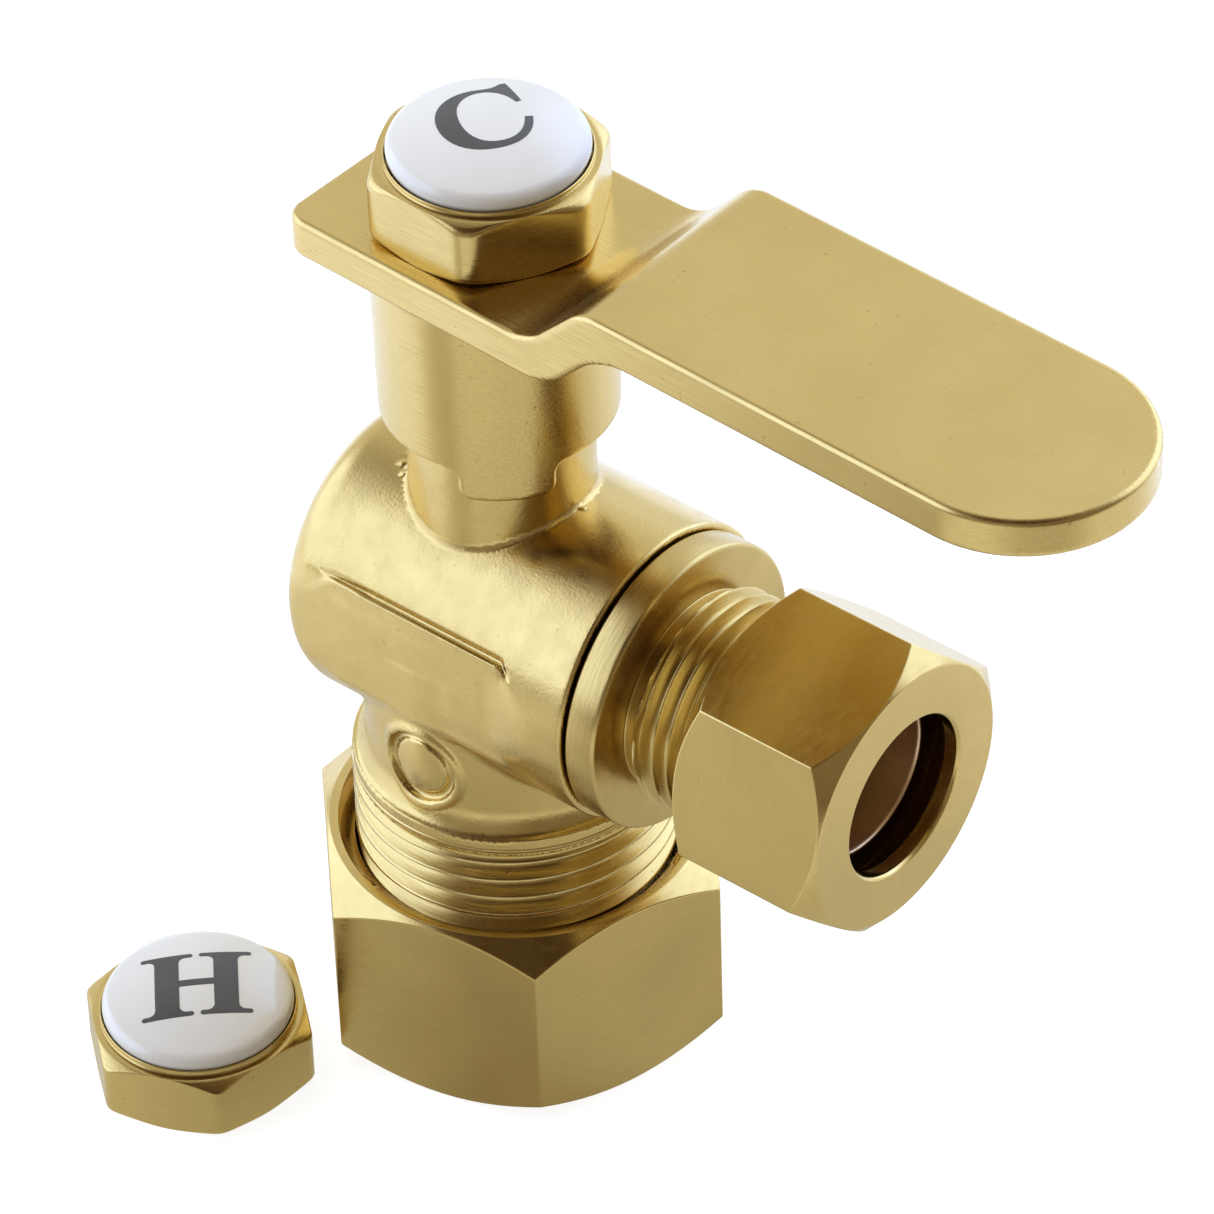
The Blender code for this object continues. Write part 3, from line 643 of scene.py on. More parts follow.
def lever_distance(x, y, z):
    """The lever in its own frame: plate with a step, skirt with its tab, and the stop lug."""
    slant = math.sqrt(2)
    bottom, top = HUB_FACES
    ramp = ((z - top) - (x - STEP_FOOT)) / slant
    over = meet_round(z - top - STEP_RISE, ramp, STEP_EDGE)
    over = join_round(z - top, over, STEP_FILLET)
    ramp_under = ((x - LOWER_STEP_FOOT) - (z - bottom)) / slant
    under = join_round(bottom + STEP_RISE - z, ramp_under, LOWER_STEP_ROUNDING)
    under = meet_round(bottom - z, under, LOWER_STEP_ROUNDING)
    tip = np.hypot(np.maximum(x - LEVER_ENDS[1] + LEVER_HALF_WIDTH, 0), y) - LEVER_HALF_WIDTH
    plan = meet_round(tip, LEVER_ENDS[0] - x, HUB_CORNER)
    plate = meet_round(meet_round(plan, over, 0.38), under, 0.3)

    radius = np.hypot(x, y)
    angle_width = angle_window(x, y, TAB_MIDDLE, 0, SKIRT_RADIUS) - TAB_HALF_WIDTH
    tab = meet_round(angle_width, TAB_BOTTOM - z, TAB_CORNER)
    foot = join_round(SKIRT_BOTTOM - z, tab, TAB_FILLET)
    wall = radius - SKIRT_RADIUS - SKIRT_TAPER * (z - TAB_BOTTOM) / (bottom - TAB_BOTTOM)
    skirt = meet_round(meet_round(wall, foot, 0.3), z - bottom - 1, 0.1)
    shape = join_round(plate, skirt, 0.45)

    bore = np.maximum(radius - SKIRT_BORE_RADIUS, z - SKIRT_CEILING)
    shape = meet_round(shape, -bore, 0.2)
    lug = angle_window(x, y, -LEVER_YAW, STOP_HALF_SPAN, SKIRT_BORE_RADIUS)
    lug = np.maximum(np.maximum(radius - SKIRT_BORE_RADIUS - 0.4, LUG_INNER_RADIUS - radius), lug)
    lug = np.maximum(np.maximum(lug, NECK_TOP + GAP - z), z - SKIRT_CEILING - 1)
    square = np.maximum(np.abs(x), np.abs(y)) - SQUARE_HALF_WIDTH
    return np.maximum(np.minimum(shape, lug), -square)


def make_lever(looks):
    margin = GRID_MARGIN
    low = (LEVER_ENDS[0] - margin, -LEVER_HALF_WIDTH - margin, TAB_BOTTOM - margin)
    high = (LEVER_ENDS[1] + margin, LEVER_HALF_WIDTH + margin, HUB_FACES[1] + STEP_RISE + margin)
    points, faces, normals = surface_net(lever_distance, low, high, LEVER_GRID)
    turn = np.array(Matrix.Rotation(LEVER_YAW, 3, "Z"))
    mesh = make_mesh("lever", points @ turn.T, faces, normals @ turn.T)
    add_piece("lever", mesh, looks["lever"], "brushed_brass", "lever", "lever_handle")


# -------------------- turned pieces and nuts


def make_retainer(looks):
    """The end piece: a stub in the barrel, the flange, an undercut and the outlet thread."""
    undercut = OUTLET_THREAD_RADIUS - 0.75
    left_chamfer = 0.3
    right_chamfer = 0.6
    sheet = thread_sheet(
        OUTLET_THREAD_LEFT, OUTLET_END, OUTLET_THREAD_PITCH, OUTLET_THREAD_RADIUS, OUTLET_THREAD_DEPTH,
        fades=(0.5, 0.4), chamfer=(left_chamfer, right_chamfer),
    )
    left, right = FLANGE_FACES
    rest = soften(
        [
            (OUTLET_THREAD_RADIUS - right_chamfer, OUTLET_END),
            (OUTLET_SOCKET_RADIUS + 1.0, OUTLET_END),
            (OUTLET_SOCKET_RADIUS, OUTLET_END - 1.4),
            (OUTLET_SOCKET_RADIUS, OUTLET_SOCKET_LEFT),
            (PORT_RADIUS, OUTLET_SOCKET_LEFT),
            (PORT_RADIUS, RETAINER_LEFT),
            (RETAINER_THREAD_RADIUS - 0.2, RETAINER_LEFT),
            (RETAINER_THREAD_RADIUS, RETAINER_LEFT + 0.3),
            (RETAINER_THREAD_RADIUS, RETAINER_THREAD_END),
            (RETAINER_GROOVE_RADIUS, RETAINER_THREAD_END),
            (RETAINER_GROOVE_RADIUS, left),
            (FLANGE_RADIUS, left),
            (FLANGE_RADIUS, right),
            (undercut, right),
            (undercut, OUTLET_THREAD_LEFT),
            (OUTLET_THREAD_RADIUS - left_chamfer, OUTLET_THREAD_LEFT),
        ],
        [0.1] * 10 + FLANGE_EDGES + [0.12] * 2,
    )
    points, faces = weld(*join(sheet, turned(rest, closed=False)))
    mesh = make_mesh("retainer", along_x(points), faces)
    mesh.set_sharp_from_angle(angle=math.radians(50))
    add_piece("retainer", mesh, looks["thread_x"], "turned_brass", "valve", "outlet_retainer")


def barrel_sleeve(inner, outer, bottom, top):
    """A ferrule's profile, thinner at both ends."""
    quarter = (top - bottom) / 4
    return soften(
        [
            (inner, (bottom + top) / 2),
            (inner, bottom),
            (inner + 0.35, bottom),
            (outer, bottom + quarter),
            (outer, top - quarter),
            (inner + 0.35, top),
            (inner, top),
            (inner, (bottom + top) / 2 + 0.01),
        ],
        0.3,
    )


def make_inlet_fittings(looks):
    """The inlet's compression nut, with a chamfered mouth and a web, and its ferrule."""
    bore = INLET_THREAD_RADIUS + THREAD_CLEARANCE
    hole = INLET_SOCKET_RADIUS + THREAD_CLEARANCE
    mouth_chamfer = 1.0
    hole_chamfer = 0.4
    hollow = [
        (bore + mouth_chamfer, INLET_NUT_HEIGHT),
        (bore, INLET_NUT_HEIGHT - mouth_chamfer),
        (bore, INLET_NUT_WEB + bore - hole),
        (hole, INLET_NUT_WEB),
        (hole, hole_chamfer),
        (hole + hole_chamfer, 0),
    ]
    ends = (0, INLET_NUT_HEIGHT)
    finish = {"rounding": 0.2, "slope": 0.82, "edge": 0.12, "face_inset": 0.25}
    shape = hexagon_nut(INLET_NUT_FLATS, ends, INLET_NUT_CORNER, hollow, **finish)
    mesh = make_mesh("compression_nut", *weld(*shape))
    nut = add_piece("compression_nut", mesh, looks["nut_z"], "polished_brass", "inlet_nut", "inlet_nut")
    weigh_normals(nut)

    points, faces = weld(*turned(barrel_sleeve(INLET_SOCKET_RADIUS, *INLET_FERRULE)))
    mesh = make_mesh("inlet_sleeve", points, faces)
    add_piece("inlet_sleeve", mesh, looks["soft"], "soft_brass", "inlet_ferrule", "inlet_ferrule")


def make_outlet_fittings(looks):
    """The outlet's compression nut, which has a web at its outer end, and its ferrule."""
    left, right = OUTLET_NUT_ENDS
    bore = OUTLET_THREAD_RADIUS + THREAD_CLEARANCE
    hole = OUTLET_HOLE_RADIUS
    hole_chamfer = 0.2
    mouth_chamfer = 0.4
    hollow = [
        (hole + hole_chamfer, right),
        (hole, right - hole_chamfer),
        (hole, OUTLET_NUT_WEB_LEFT),
        (bore, OUTLET_NUT_WEB_LEFT - (bore - hole)),
        (bore, left + mouth_chamfer),
        (bore + mouth_chamfer, left),
    ]
    finish = {"rounding": 0.14, "slope": 0.86, "edge": 0.09, "face_inset": 0.1}
    shape = hexagon_nut(OUTLET_NUT_FLATS, OUTLET_NUT_ENDS, OUTLET_NUT_CORNER, hollow, **finish)
    points, faces = weld(*shape)
    mesh = make_mesh("riser_nut", along_x(points), faces)
    nut = add_piece("riser_nut", mesh, looks["nut_x"], "polished_brass", "outlet_nut", "outlet_nut")
    weigh_normals(nut)

    points, faces = weld(*turned(barrel_sleeve(OUTLET_SOCKET_RADIUS, *OUTLET_FERRULE)))
    mesh = make_mesh("outlet_sleeve", along_x(points), faces)
    add_piece("outlet_sleeve", mesh, looks["soft"], "soft_brass", "outlet_ferrule", "outlet_ferrule")


# -------------------- index caps


def dome_height(radius):
    """Height of a button's dome over its nut's seat."""
    lean = math.radians(BUTTON_EDGE_ENDS[1])
    foot_radius = BUTTON_RIM_RADIUS - BUTTON_EDGE + BUTTON_EDGE * math.cos(lean)
    foot = BUTTON_RIM_CENTRE + BUTTON_EDGE * math.sin(lean)
    return foot + BUTTON_CROWN * (1 - (radius / foot_radius) ** 2)


def button_profile():
    """A button from its plug's middle, round its rim and over its dome."""
    rim_centre = (BUTTON_RIM_RADIUS - BUTTON_EDGE, BUTTON_RIM_CENTRE)
    rim = circle_arc(rim_centre, BUTTON_EDGE, *BUTTON_EDGE_ENDS, steps=14)
    dome_radii = [rim[-1][0] * (1 - i / 16) for i in range(1, 17)]
    dome = [(radius, dome_height(radius)) for radius in dome_radii]
    plug = [
        (0, RECESS_FLOOR + GAP),
        (BUTTON_PLUG_RADIUS, RECESS_FLOOR + GAP),
        (BUTTON_PLUG_RADIUS, INDEX_HEIGHT + 0.05),
        rim[0],
    ]
    return soften(plug, 0.15)[:-1] + rim + dome


def bezier(start, first, second, end, steps=10):
    """Points along a cubic curve, without its start."""
    start, first, second, end = (np.array(p, float) for p in (start, first, second, end))
    made = []
    for i in range(1, steps + 1):
        t = i / steps
        middle = 3 * t * (1 - t) ** 2 * first + 3 * t * t * (1 - t) * second
        made.append((1 - t) ** 3 * start + middle + t**3 * end)
    return [tuple(p) for p in made]


def circle_arc(centre, radius, start, end, steps=8):
    """Points along an arc between two angles in degrees."""
    turns = [math.radians(start + (end - start) * i / steps) for i in range(steps + 1)]
    return [(centre[0] + radius * math.cos(t), centre[1] + radius * math.sin(t)) for t in turns]


def letter_c():
    """A capital C of thick and thin strokes with a wedge serif, in millimetres."""
    outline = [(2.16, 2.34), (1.42, 4.45), (1.02, 4.3)]
    outline += bezier(outline[-1], (0.7, 3.85), (0.3, 3.8), (-0.1, 3.76), 6)
    outline += bezier(outline[-1], (-1.75, 3.76), (-2.95, 2.6), (-2.95, 0.95))
    outline += bezier(outline[-1], (-2.95, -0.9), (-1.75, -2.2), (-0.2, -2.2))
    outline += bezier(outline[-1], (1.5, -2.2), (2.72, -1.2), (2.68, 0.66))
    outline += [(2.2, 0.62)]
    outline += bezier(outline[-1], (2.15, -0.85), (1.35, -1.58), (0.3, -1.58))
    outline += bezier(outline[-1], (-0.95, -1.58), (-1.65, -0.2), (-1.65, 1.35))
    outline += bezier(outline[-1], (-1.65, 2.6), (-0.9, 3.44), (0.05, 3.44))
    outline += bezier(outline[-1], (0.85, 3.44), (1.45, 2.95), (1.84, 2.16))
    return outline


def letter_h():
    """A capital H with thick stems and thin bracketed serifs, in millimetres."""
    top, bar = 2.78, 0.27
    inner, outer = 1.08, 2.6
    serif_inner, serif_outer, thin = 0.2, 3.45, 0.34
    bracket, end = 0.45, 0.17
    quarter = [(inner, bar)]
    quarter += circle_arc((inner - bracket, top - thin - bracket), bracket, 0, 90)
    quarter += circle_arc((serif_inner + end, top - end), end, 270, 90)
    quarter += circle_arc((serif_outer - end, top - end), end, 90, -90)
    quarter += circle_arc((outer + bracket, top - thin - bracket), bracket, 90, 180)
    right = quarter + [(x, -y) for x, y in reversed(quarter)]
    outline = right + [(-x, y) for x, y in reversed(right)]
    return [(x + LETTER_LEAN * y, y) for x, y in outline]


def letter_mesh(name, outline, seat, place, offset):
    """A thin inlay of that outline, cut into a grid of small faces and laid over a button's dome."""
    shape = bmesh.new()
    shape.faces.new([shape.verts.new((x + offset[0], y + offset[1], 0)) for x, y in outline])
    spacing = 0.5
    first_cut = 0.07
    for axis in ((1, 0, 0), (0, 1, 0)):
        for step in range(-8, 12):
            everything = list(shape.verts) + list(shape.edges) + list(shape.faces)
            cut = Vector(axis) * (step * spacing + first_cut)
            bmesh.ops.bisect_plane(shape, geom=everything, dist=1e-5, plane_co=cut, plane_no=axis)
    bmesh.ops.triangulate(shape, faces=shape.faces)
    shape.verts.index_update()
    count = len(shape.verts)
    upper = [[vertex.index for vertex in face.verts] for face in shape.faces]
    lower = [[index + count for index in reversed(face)] for face in upper]
    walls = []
    for edge in shape.edges:
        if edge.is_boundary:
            loop = edge.link_loops[0]
            start, end = loop.vert.index, loop.link_loop_next.vert.index
            walls.append([end, start, start + count, end + count])
    turn = Matrix.Rotation(LETTER_TURN, 3, "Z")
    points = []
    for lift in (LETTER_HEIGHT, -LETTER_DEPTH):
        for vertex in shape.verts:
            height = seat + dome_height(math.hypot(vertex.co.x, vertex.co.y)) + lift
            spot = turn @ vertex.co
            points.append((spot.x + place[0], spot.y + place[1], height))
    shape.free()
    mesh = make_mesh(name, points, upper + lower + walls)
    mesh.set_sharp_from_angle(angle=math.radians(40))
    return mesh


def make_index_cap(looks, nut, button, letter, corner, heights, finish):
    """A cap nut, its button and the letter on it.

    nut and button each name a piece, its body and its CAD node; letter names a piece and has its
    outline and its offset; heights are the nut's foot over its seat, and how much taller the cap is.
    """
    nut_name, nut_body, cad_nut = nut
    button_name, button_body, cad_button = button
    letter_name, outline, offset = letter
    foot, lift = heights
    low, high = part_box(cad_nut)
    place = ((low.x + high.x) / 2 / MM, (low.y + high.y) / 2 / MM)
    seat = low.z / MM
    move = np.array([*place, seat])
    top = INDEX_HEIGHT + lift
    lip_top = top + 0.3 + lift / 2
    rim = BUTTON_RIM_RADIUS + 0.05
    rim_floor = top - 0.4
    hollow = [
        (rim + 0.14, top),
        (rim + 0.12, lip_top),
        (rim, lip_top),
        (rim, rim_floor),
        (RECESS_RADIUS, rim_floor),
        (RECESS_RADIUS, RECESS_FLOOR),
        (0, RECESS_FLOOR),
        (0, INDEX_THREAD_TOP),
        (INDEX_THREAD_RADIUS, INDEX_THREAD_TOP),
        (INDEX_THREAD_RADIUS, foot),
    ]
    points, faces = weld(*hexagon_nut(INDEX_FLATS, (foot, top), corner, hollow, **finish))
    mesh = make_mesh(nut_name, points + move, faces)
    weigh_normals(add_piece(nut_name, mesh, looks["cap"], "brushed_brass", nut_body, cad_nut))

    points, faces = weld(*turned(button_profile(), closed=False))
    mesh = make_mesh(button_name, points + move + (0, 0, lift), faces)
    add_piece(button_name, mesh, looks["porcelain"], "button_porcelain", button_body, cad_button)

    mesh = letter_mesh(letter_name, outline, seat + lift, place, offset)
    add_piece(letter_name, mesh, looks["letter"], "index_letter", button_body)


def make_index_caps(looks):
    """The cold cap on the lever, and the hot one that lies beside the valve."""
    make_index_cap(
        looks,
        nut=("cold_cap_nut", "index_nut", "index_nut"),
        button=("cold_index", "cold_button", "cold_button"),
        letter=("cold_letter", letter_c(), (0, 0)),
        corner=INDEX_CORNER,
        heights=(-0.27, 0.05),
        finish={"rounding": 1.5, "slope": 0.42, "edge": 0.4},
    )
    make_index_cap(
        looks,
        nut=("hot_cap_nut", "spare_cap", "spare_index_nut"),
        button=("hot_index", "spare_cap", "hot_button"),
        letter=("hot_letter", letter_h(), (0, 0.2)),
        corner=SPARE_CORNER,
        heights=(0.0, 0.25),
        finish={"rounding": 0.9, "slope": 0.5, "edge": 0.16},
    )


# -------------------- materials


class Nodes:
    """A node tree, with a short way to add nodes to it."""

    def __init__(self, tree):
        self.tree = tree

    def add(self, kind, inputs=(), **settings):
        """A node of that kind; inputs are pairs of socket and value, or of socket and another's output."""
        node = self.tree.nodes.new("ShaderNode" + kind)
        for setting, value in settings.items():
            setattr(node, setting, value)
        for socket, value in inputs:
            self.put(node.inputs[socket], value)
        return node

    def put(self, socket, value):
        if isinstance(value, bpy.types.NodeSocket):
            self.tree.links.new(value, socket)
        else:
            socket.default_value = value

    def sums(self, operation, *values):
        return self.add("Math", list(enumerate(values)), operation=operation).outputs[0]

    def noise(self, vector, scale, detail=3.0):
        inputs = [("Vector", vector), ("Scale", scale), ("Detail", detail)]
        return self.add("TexNoise", inputs).outputs[0]

    def ranged(self, value, low, high, start=0.3, end=0.7, kind="LINEAR"):
        """The value, with start to end spread over low to high."""
        inputs = [("Value", value), ("From Min", start), ("From Max", end)]
        inputs += [("To Min", low), ("To Max", high)]
        return self.add("MapRange", inputs, clamp=True, interpolation_type=kind).outputs[0]

    def cosine(self, direction, *angles):
        """The cosine of the angle between a direction and a fixed one."""
        inputs = [(0, direction), (1, towards(*angles))]
        return self.add("VectorMath", inputs, operation="DOT_PRODUCT").outputs["Value"]

    def place(self):
        return self.add("TexCoord").outputs["Object"]

    def stretched(self, vector, scale, turn=0.0):
        inputs = [("Vector", vector), ("Rotation", (0, 0, turn)), ("Scale", scale)]
        return self.add("Mapping", inputs).outputs[0]

    def mixed(self, factor, first, second):
        node = self.add("Mix", data_type="RGBA")
        sockets = (("Factor", "VALUE", factor), ("A", "RGBA", first), ("B", "RGBA", second))
        for name, kind, value in sockets:
            socket = next(s for s in node.inputs if s.name == name and s.type == kind)
            self.put(socket, value)
        return next(s for s in node.outputs if s.type == "RGBA")

    def toned(self, brightness):
        """A grey level's colour: warm where dim, cooler where bright."""
        node = self.add("ValToRGB", [(0, self.sums("MULTIPLY", brightness, 1 / TONE_RANGE))])
        ramp = node.color_ramp
        while len(ramp.elements) < len(TONES):
            ramp.elements.new(0.5)
        for element, (level, colour) in zip(ramp.elements, TONES):
            element.position = level / TONE_RANGE
            element.color = shade(colour, 1 / TONE_PEAK)
        scaled = self.add("VectorMath", [(0, node.outputs[0])], operation="SCALE")
        scaled.inputs["Scale"].default_value = TONE_PEAK
        return scaled.outputs[0]


class Look(Nodes):
    """A material."""

    def __init__(self, name):
        self.material = bpy.data.materials.new(name)
        self.material.use_nodes = True
        super().__init__(self.material.node_tree)
        self.shader = self.tree.nodes["Principled BSDF"]

    def set(self, socket, value):
        self.put(self.shader.inputs[socket], value)

    def bump(self, distance, height):
        inputs = [("Strength", 1.0), ("Distance", distance), ("Height", height)]
        self.set("Normal", self.add("Bump", inputs).outputs[0])


def shade(colour, factor):
    """A colour made darker or lighter, with its alpha."""
    return (*(c * factor for c in colour), 1)


def brass(
    name, roughness, grain, bump, colour=BRASS, turn=0.0, mottle=0.1, blasted=0.0, edges=0.25, pitted=0.3
):
    """Brass with a grain stretched along one axis, cloudy roughness, fine pits, painted highlights on
    sharp edges and painted shade in creases.

    grain is the grain noise's scale along X, Y and Z, turned about Z by turn, and bump is its depth.
    mottle is how much the tone varies, blasted the strength of a fine even texture, edges how much
    sharp edges get a painted highlight, lighter and glossier, and pitted the strength of the pits.
    """
    look = Look(name)
    place = look.place()
    streaks = look.noise(look.stretched(place, grain, turn), scale=1.0, detail=4.0)
    clouds = look.noise(place, scale=160.0)
    fine = look.noise(place, scale=5200.0, detail=2.0)
    pits = look.ranged(look.noise(place, scale=1500.0, detail=2.0), 1.0, 0.0, 0.22, 0.3)
    point = look.add("NewGeometry").outputs["Pointiness"]
    # Painted highlight: sharp convex edges are lightened and made glossier
    edge_highlight = look.ranged(point, 0.0, edges, 0.53, 0.62)
    # Painted shade: concave creases are darkened to a deep brown
    crease_shade = look.ranged(point, 0.55, 0.0, 0.36, 0.47)

    tone = look.ranged(clouds, 0.0, 1.0)
    base = look.mixed(tone, shade(colour, 1 - mottle), shade(colour, 1 + mottle * 0.5))
    base = look.mixed(look.ranged(streaks, 0.0, 0.35), base, shade(colour, 0.86))
    base = look.mixed(edge_highlight, base, EDGE_HIGHLIGHT_BRASS)
    base = look.mixed(crease_shade, base, CREASE_SHADE)
    base = look.mixed(look.sums("MULTIPLY", pits, pitted), base, PIT)
    look.set("Base Color", base)
    look.set("Metallic", 1.0)

    rough = look.ranged(clouds, roughness - 0.04, roughness + 0.05)
    rough = look.sums("ADD", rough, look.ranged(streaks, -0.05, 0.06))
    rough = look.sums("SUBTRACT", rough, look.sums("MULTIPLY", edge_highlight, 0.3))
    look.set("Roughness", rough)

    height = look.sums("ADD", look.sums("MULTIPLY", streaks, bump), look.sums("MULTIPLY", fine, blasted))
    height = look.sums("SUBTRACT", height, look.sums("MULTIPLY", pits, pitted))
    look.bump(0.00002, height)
    return look.material


def plain(name, colour, roughness, speckle, metallic=0.0, coat=0.0, bump=0.00001):
    """A non-brass surface with a slight variation in tone, gloss and height."""
    look = Look(name)
    place = look.place()
    clouds = look.noise(place, scale=300.0)
    fine = look.noise(place, scale=3000.0, detail=2.0)
    tone = look.mixed(look.ranged(clouds, 0.0, 1.0), shade(colour, 1 - speckle), shade(colour, 1))
    look.set("Base Color", tone)
    look.set("Roughness", look.ranged(clouds, roughness * 0.85, roughness * 1.15))
    look.set("Metallic", metallic)
    look.set("Coat Weight", coat)
    look.set("Coat Roughness", 0.04)
    look.bump(bump, fine)
    return look.material


def make_looks():
    """Every material by name. A turned or milled grain runs round the axis in its name."""
    turned_z, turned_x = (500, 500, 9000), (9000, 500, 500)
    milled_z, milled_x = (900, 900, 4000), (4000, 900, 900)
    nut = {"bump": 0.08, "mottle": 0.08, "blasted": 0.15, "pitted": 0.12}
    return {
        "forged": brass("blasted_brass", 0.25, (700, 700, 700), 0.3, blasted=0.5),
        "lever": brass("brushed_brass_lever", 0.25, (200, 6000, 6000), 0.3, turn=LEVER_YAW, mottle=0.05),
        "cap": brass("brushed_brass_cap", 0.25, turned_z, 0.3, mottle=0.08, blasted=0.3),
        "thread_z": brass("threaded_brass_z", 0.24, turned_z, 0.6, edges=0.6),
        # The retainer's brass is darkened as painted shade
        "thread_x": brass("turned_brass_x", 0.27, turned_x, 0.6, colour=SHADED_TURNED_BRASS, edges=0.6),
        "nut_z": brass("nut_brass_z", 0.21, milled_z, **nut),
        "nut_x": brass("nut_brass_x", 0.21, milled_x, **nut),
        # The ferrules' brass is lightened as painted light
        "soft": brass("ferrule_brass", 0.36, turned_z, 0.4, colour=SOFT_BRASS_LIGHTENED, mottle=0.05),
        "chrome": plain("ball_chrome", (0.78, 0.78, 0.8), 0.08, 0.03, metallic=1.0),
        "ptfe": plain("seat_ptfe", (0.86, 0.85, 0.81), 0.45, 0.06),
        "rubber": plain("seal_rubber", (0.018, 0.018, 0.018), 0.55, 0.3, bump=0.00004),
        "porcelain": plain("button_porcelain", PORCELAIN, 0.16, 0.02, coat=1.0, bump=0.000002),
        "letter": plain("index_glaze", (0.092, 0.088, 0.08), 0.4, 0.25),
    }


CAD_LOOKS = {
    "ball": "chrome",
    "back_seat": "ptfe",
    "outlet_seat": "ptfe",
    "stem_thrust_washer": "ptfe",
    "retainer_o_ring": "rubber",
    "back_seat_o_ring": "rubber",
    "stem_o_ring_lower": "rubber",
    "stem_o_ring_upper": "rubber",
    "stem": "thread_z",
}


def dress_cad_nodes(nodes, looks):
    for name, look in CAD_LOOKS.items():
        data = nodes[name].data
        data.materials.clear()
        data.materials.append(looks[look])


# -------------------- stage


def stage_plane(name, size, height):
    """A glowing square of the stage, and its material."""
    shape = bmesh.new()
    bmesh.ops.create_grid(shape, x_segments=1, y_segments=1, size=size)
    mesh = bpy.data.meshes.new(name)
    shape.to_mesh(mesh)
    shape.free()
    plane = bpy.data.objects.new(name, mesh)
    bpy.context.scene.collection.objects.link(plane)
    plane.location.z = height
    look = Look(name)
    look.set("Roughness", 0.9)
    look.set("Emission Strength", 1.0)
    mesh.materials.append(look.material)
    return plane, look


def make_stage():
    """A white floor for the camera, and under it the one that lights and mirrors in the metal.

    The second is brighter at the left and back, dimmer close to the valve and far off at the right, and
    has the patches listed above.
    """
    floor, look = stage_plane("floor", 3.0, 0.0)
    look.set("Base Color", (0.35, 0.35, 0.35, 1))
    look.set("Emission Color", (0.88, 0.88, 0.88, 1))
    floor.visible_glossy = False
    floor.visible_diffuse = False

    bounce, look = stage_plane("bounce_floor", 3.0, -0.0002)
    bounce.visible_camera = False
    away = look.add("VectorMath", [(0, look.place()), (1, FLOOR_CENTRE)], operation="SUBTRACT").outputs[0]
    reach = look.add("VectorMath", [(0, away)], operation="LENGTH").outputs["Value"]
    heading = look.add("VectorMath", [(0, away)], operation="NORMALIZE").outputs[0]

    side = look.ranged(look.cosine(heading, FLOOR_BRIGHT_SIDE), 0.0, 1.0, -0.4, 0.15)
    glow = look.sums("ADD", look.sums("MULTIPLY", side, 0.29), FLOOR_LEVEL)
    for azimuth, cosines, distances, amounts in FLOOR_PATCHES:
        patch = look.ranged(look.cosine(heading, azimuth), 0.0, 1.0, *cosines)
        patch = look.sums("MULTIPLY", patch, look.ranged(reach, *amounts, *distances))
        glow = look.sums("ADD", glow, patch)
    far = look.ranged(reach, 0.0, 0.45, 0.12, 0.28)
    glow = look.sums("SUBTRACT", glow, look.sums("MULTIPLY", far, look.sums("SUBTRACT", 1.0, side)))
    # Painted shade: the glow is dimmed close to the valve in place of the valve's own shadow on the floor
    glow = look.sums("MULTIPLY", glow, look.ranged(reach, 0.49, 1.08, 0.014, 0.08))
    look.set("Base Color", (0, 0, 0, 1))
    look.set("Specular IOR Level", 0.0)
    look.set("Emission Color", look.toned(glow))


def towards(azimuth, elevation=0.0):
    """A unit direction; azimuth 0 is the front and 90 the right."""
    azimuth, elevation = math.radians(azimuth), math.radians(elevation)
    flat = math.cos(elevation)
    return (math.sin(azimuth) * flat, -math.cos(azimuth) * flat, math.sin(elevation))


def make_light():
    """One soft overhead light, which the metal does not mirror."""
    data = bpy.data.lights.new("softbox_top", "AREA")
    data.shape = "SQUARE"
    data.size = SOFTBOX_SIZE
    data.energy = SOFTBOX_RADIANCE * math.pi * SOFTBOX_SIZE * SOFTBOX_SIZE
    lamp = bpy.data.objects.new("softbox_top", data)
    bpy.context.scene.collection.objects.link(lamp)
    heading = Vector(towards(*SOFTBOX_HEADING))
    lamp.location = (Vector(CAMERA_AIM) * MM) + heading * SOFTBOX_DISTANCE
    lamp.rotation_mode = "QUATERNION"
    lamp.rotation_quaternion = heading.to_track_quat("Z", "Y")
    lamp.visible_glossy = False


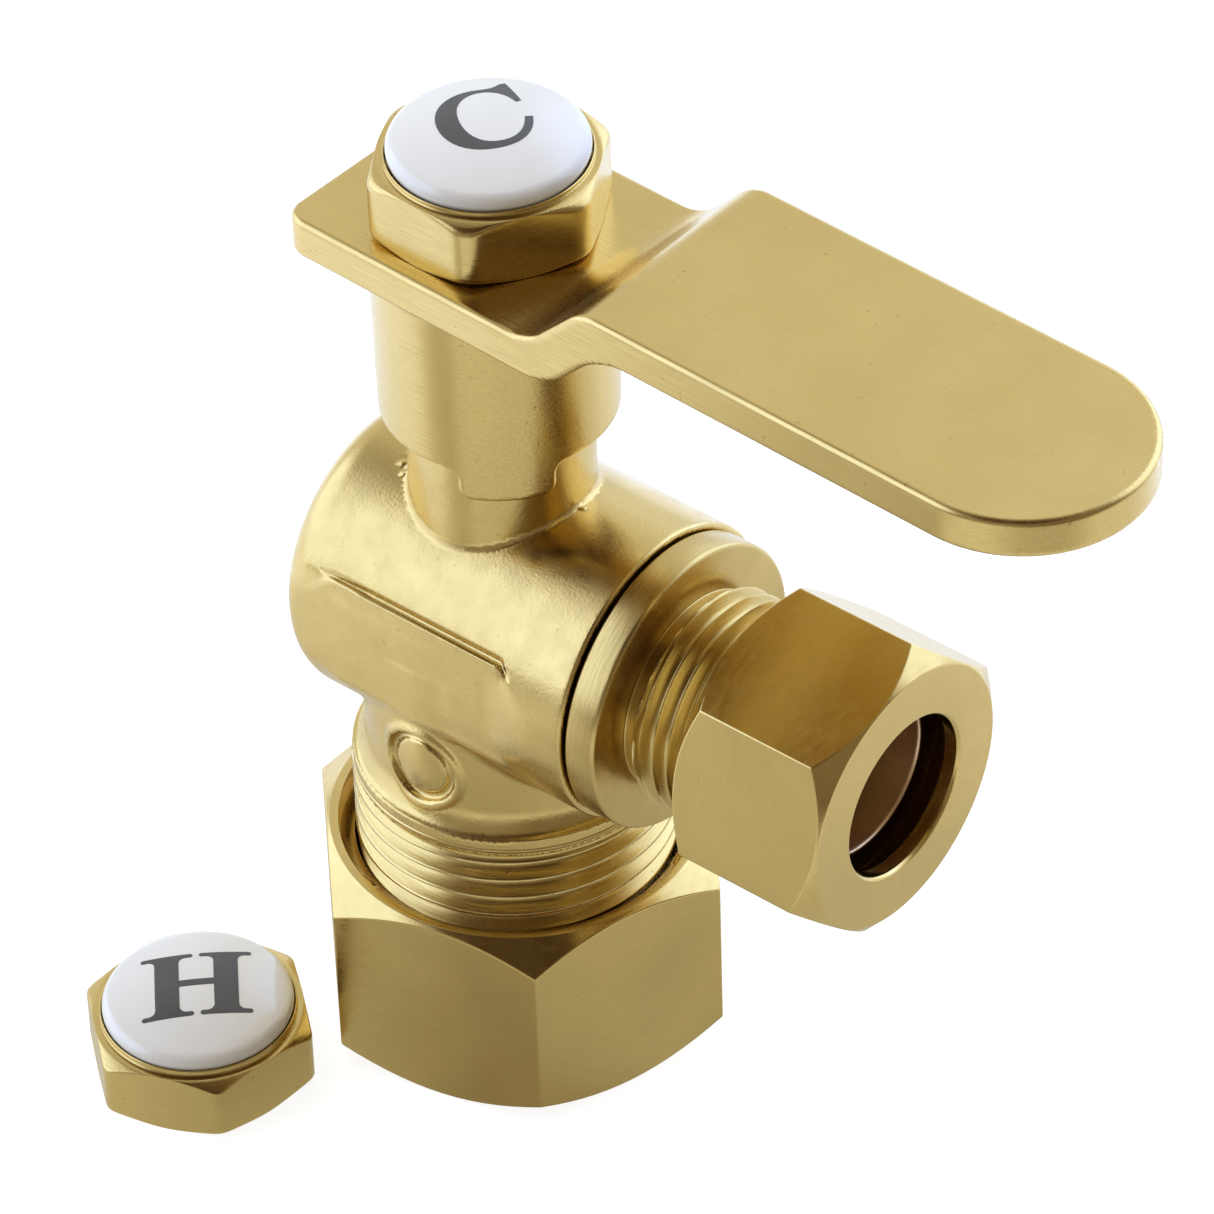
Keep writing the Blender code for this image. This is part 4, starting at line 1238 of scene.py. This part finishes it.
def make_world():
    """A studio with large soft lights at the left front and the back, seen as white by the camera."""
    world = bpy.data.worlds.new("studio")
    bpy.context.scene.world = world
    world.use_nodes = True
    nodes = Nodes(world.node_tree)
    direction = nodes.add("TexCoord").outputs["Generated"]
    total = STUDIO_LEVEL
    for azimuth, elevation, start, end, amount in STUDIO_LIGHTS:
        cosine = nodes.cosine(direction, azimuth, elevation)
        lobe = nodes.ranged(cosine, 0.0, amount, start, end, "SMOOTHSTEP")
        total = nodes.sums("ADD", total, lobe)
    seen = nodes.add("LightPath").outputs["Is Camera Ray"]
    background = world.node_tree.nodes["Background"]
    nodes.put(background.inputs["Color"], nodes.mixed(seen, nodes.toned(total), (1.1, 1.1, 1.1, 1)))


def make_camera():
    """A long lens in front of the valve, to its right and above."""
    azimuth, roll = math.radians(CAMERA_AZIMUTH), math.radians(CAMERA_ROLL)
    back = Vector(towards(CAMERA_AZIMUTH, CAMERA_ELEVATION))
    level = Vector((math.cos(azimuth), math.sin(azimuth), 0))
    right = Matrix.Rotation(-roll, 3, -back) @ level
    up = back.cross(right)
    data = bpy.data.cameras.new("camera")
    data.lens = CAMERA_LENS
    data.sensor_width = CAMERA_SENSOR
    data.dof.use_dof = False
    data.clip_start = 0.01
    camera = bpy.data.objects.new("camera", data)
    bpy.context.scene.collection.objects.link(camera)
    frame_matrix = Matrix((right, up, back)).transposed().to_4x4()
    frame_matrix.translation = (Vector(CAMERA_AIM) + back * CAMERA_DISTANCE) * MM
    camera.matrix_world = frame_matrix
    bpy.context.scene.camera = camera


# -------------------- scene

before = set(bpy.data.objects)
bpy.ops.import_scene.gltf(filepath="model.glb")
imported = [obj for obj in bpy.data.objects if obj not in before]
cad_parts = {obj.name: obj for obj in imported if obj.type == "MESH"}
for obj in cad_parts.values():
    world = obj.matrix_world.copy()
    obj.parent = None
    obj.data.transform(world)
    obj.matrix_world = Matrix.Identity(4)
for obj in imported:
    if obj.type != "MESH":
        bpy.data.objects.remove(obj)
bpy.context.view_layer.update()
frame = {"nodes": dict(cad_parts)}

make_camera()
looks = make_looks()
dress_cad_nodes(frame["nodes"], looks)
make_body(looks)
make_lever(looks)
make_retainer(looks)
make_inlet_fittings(looks)
make_outlet_fittings(looks)
make_index_caps(looks)
make_stage()
make_light()
make_world()
bpy.context.scene.view_settings.view_transform = "Standard"
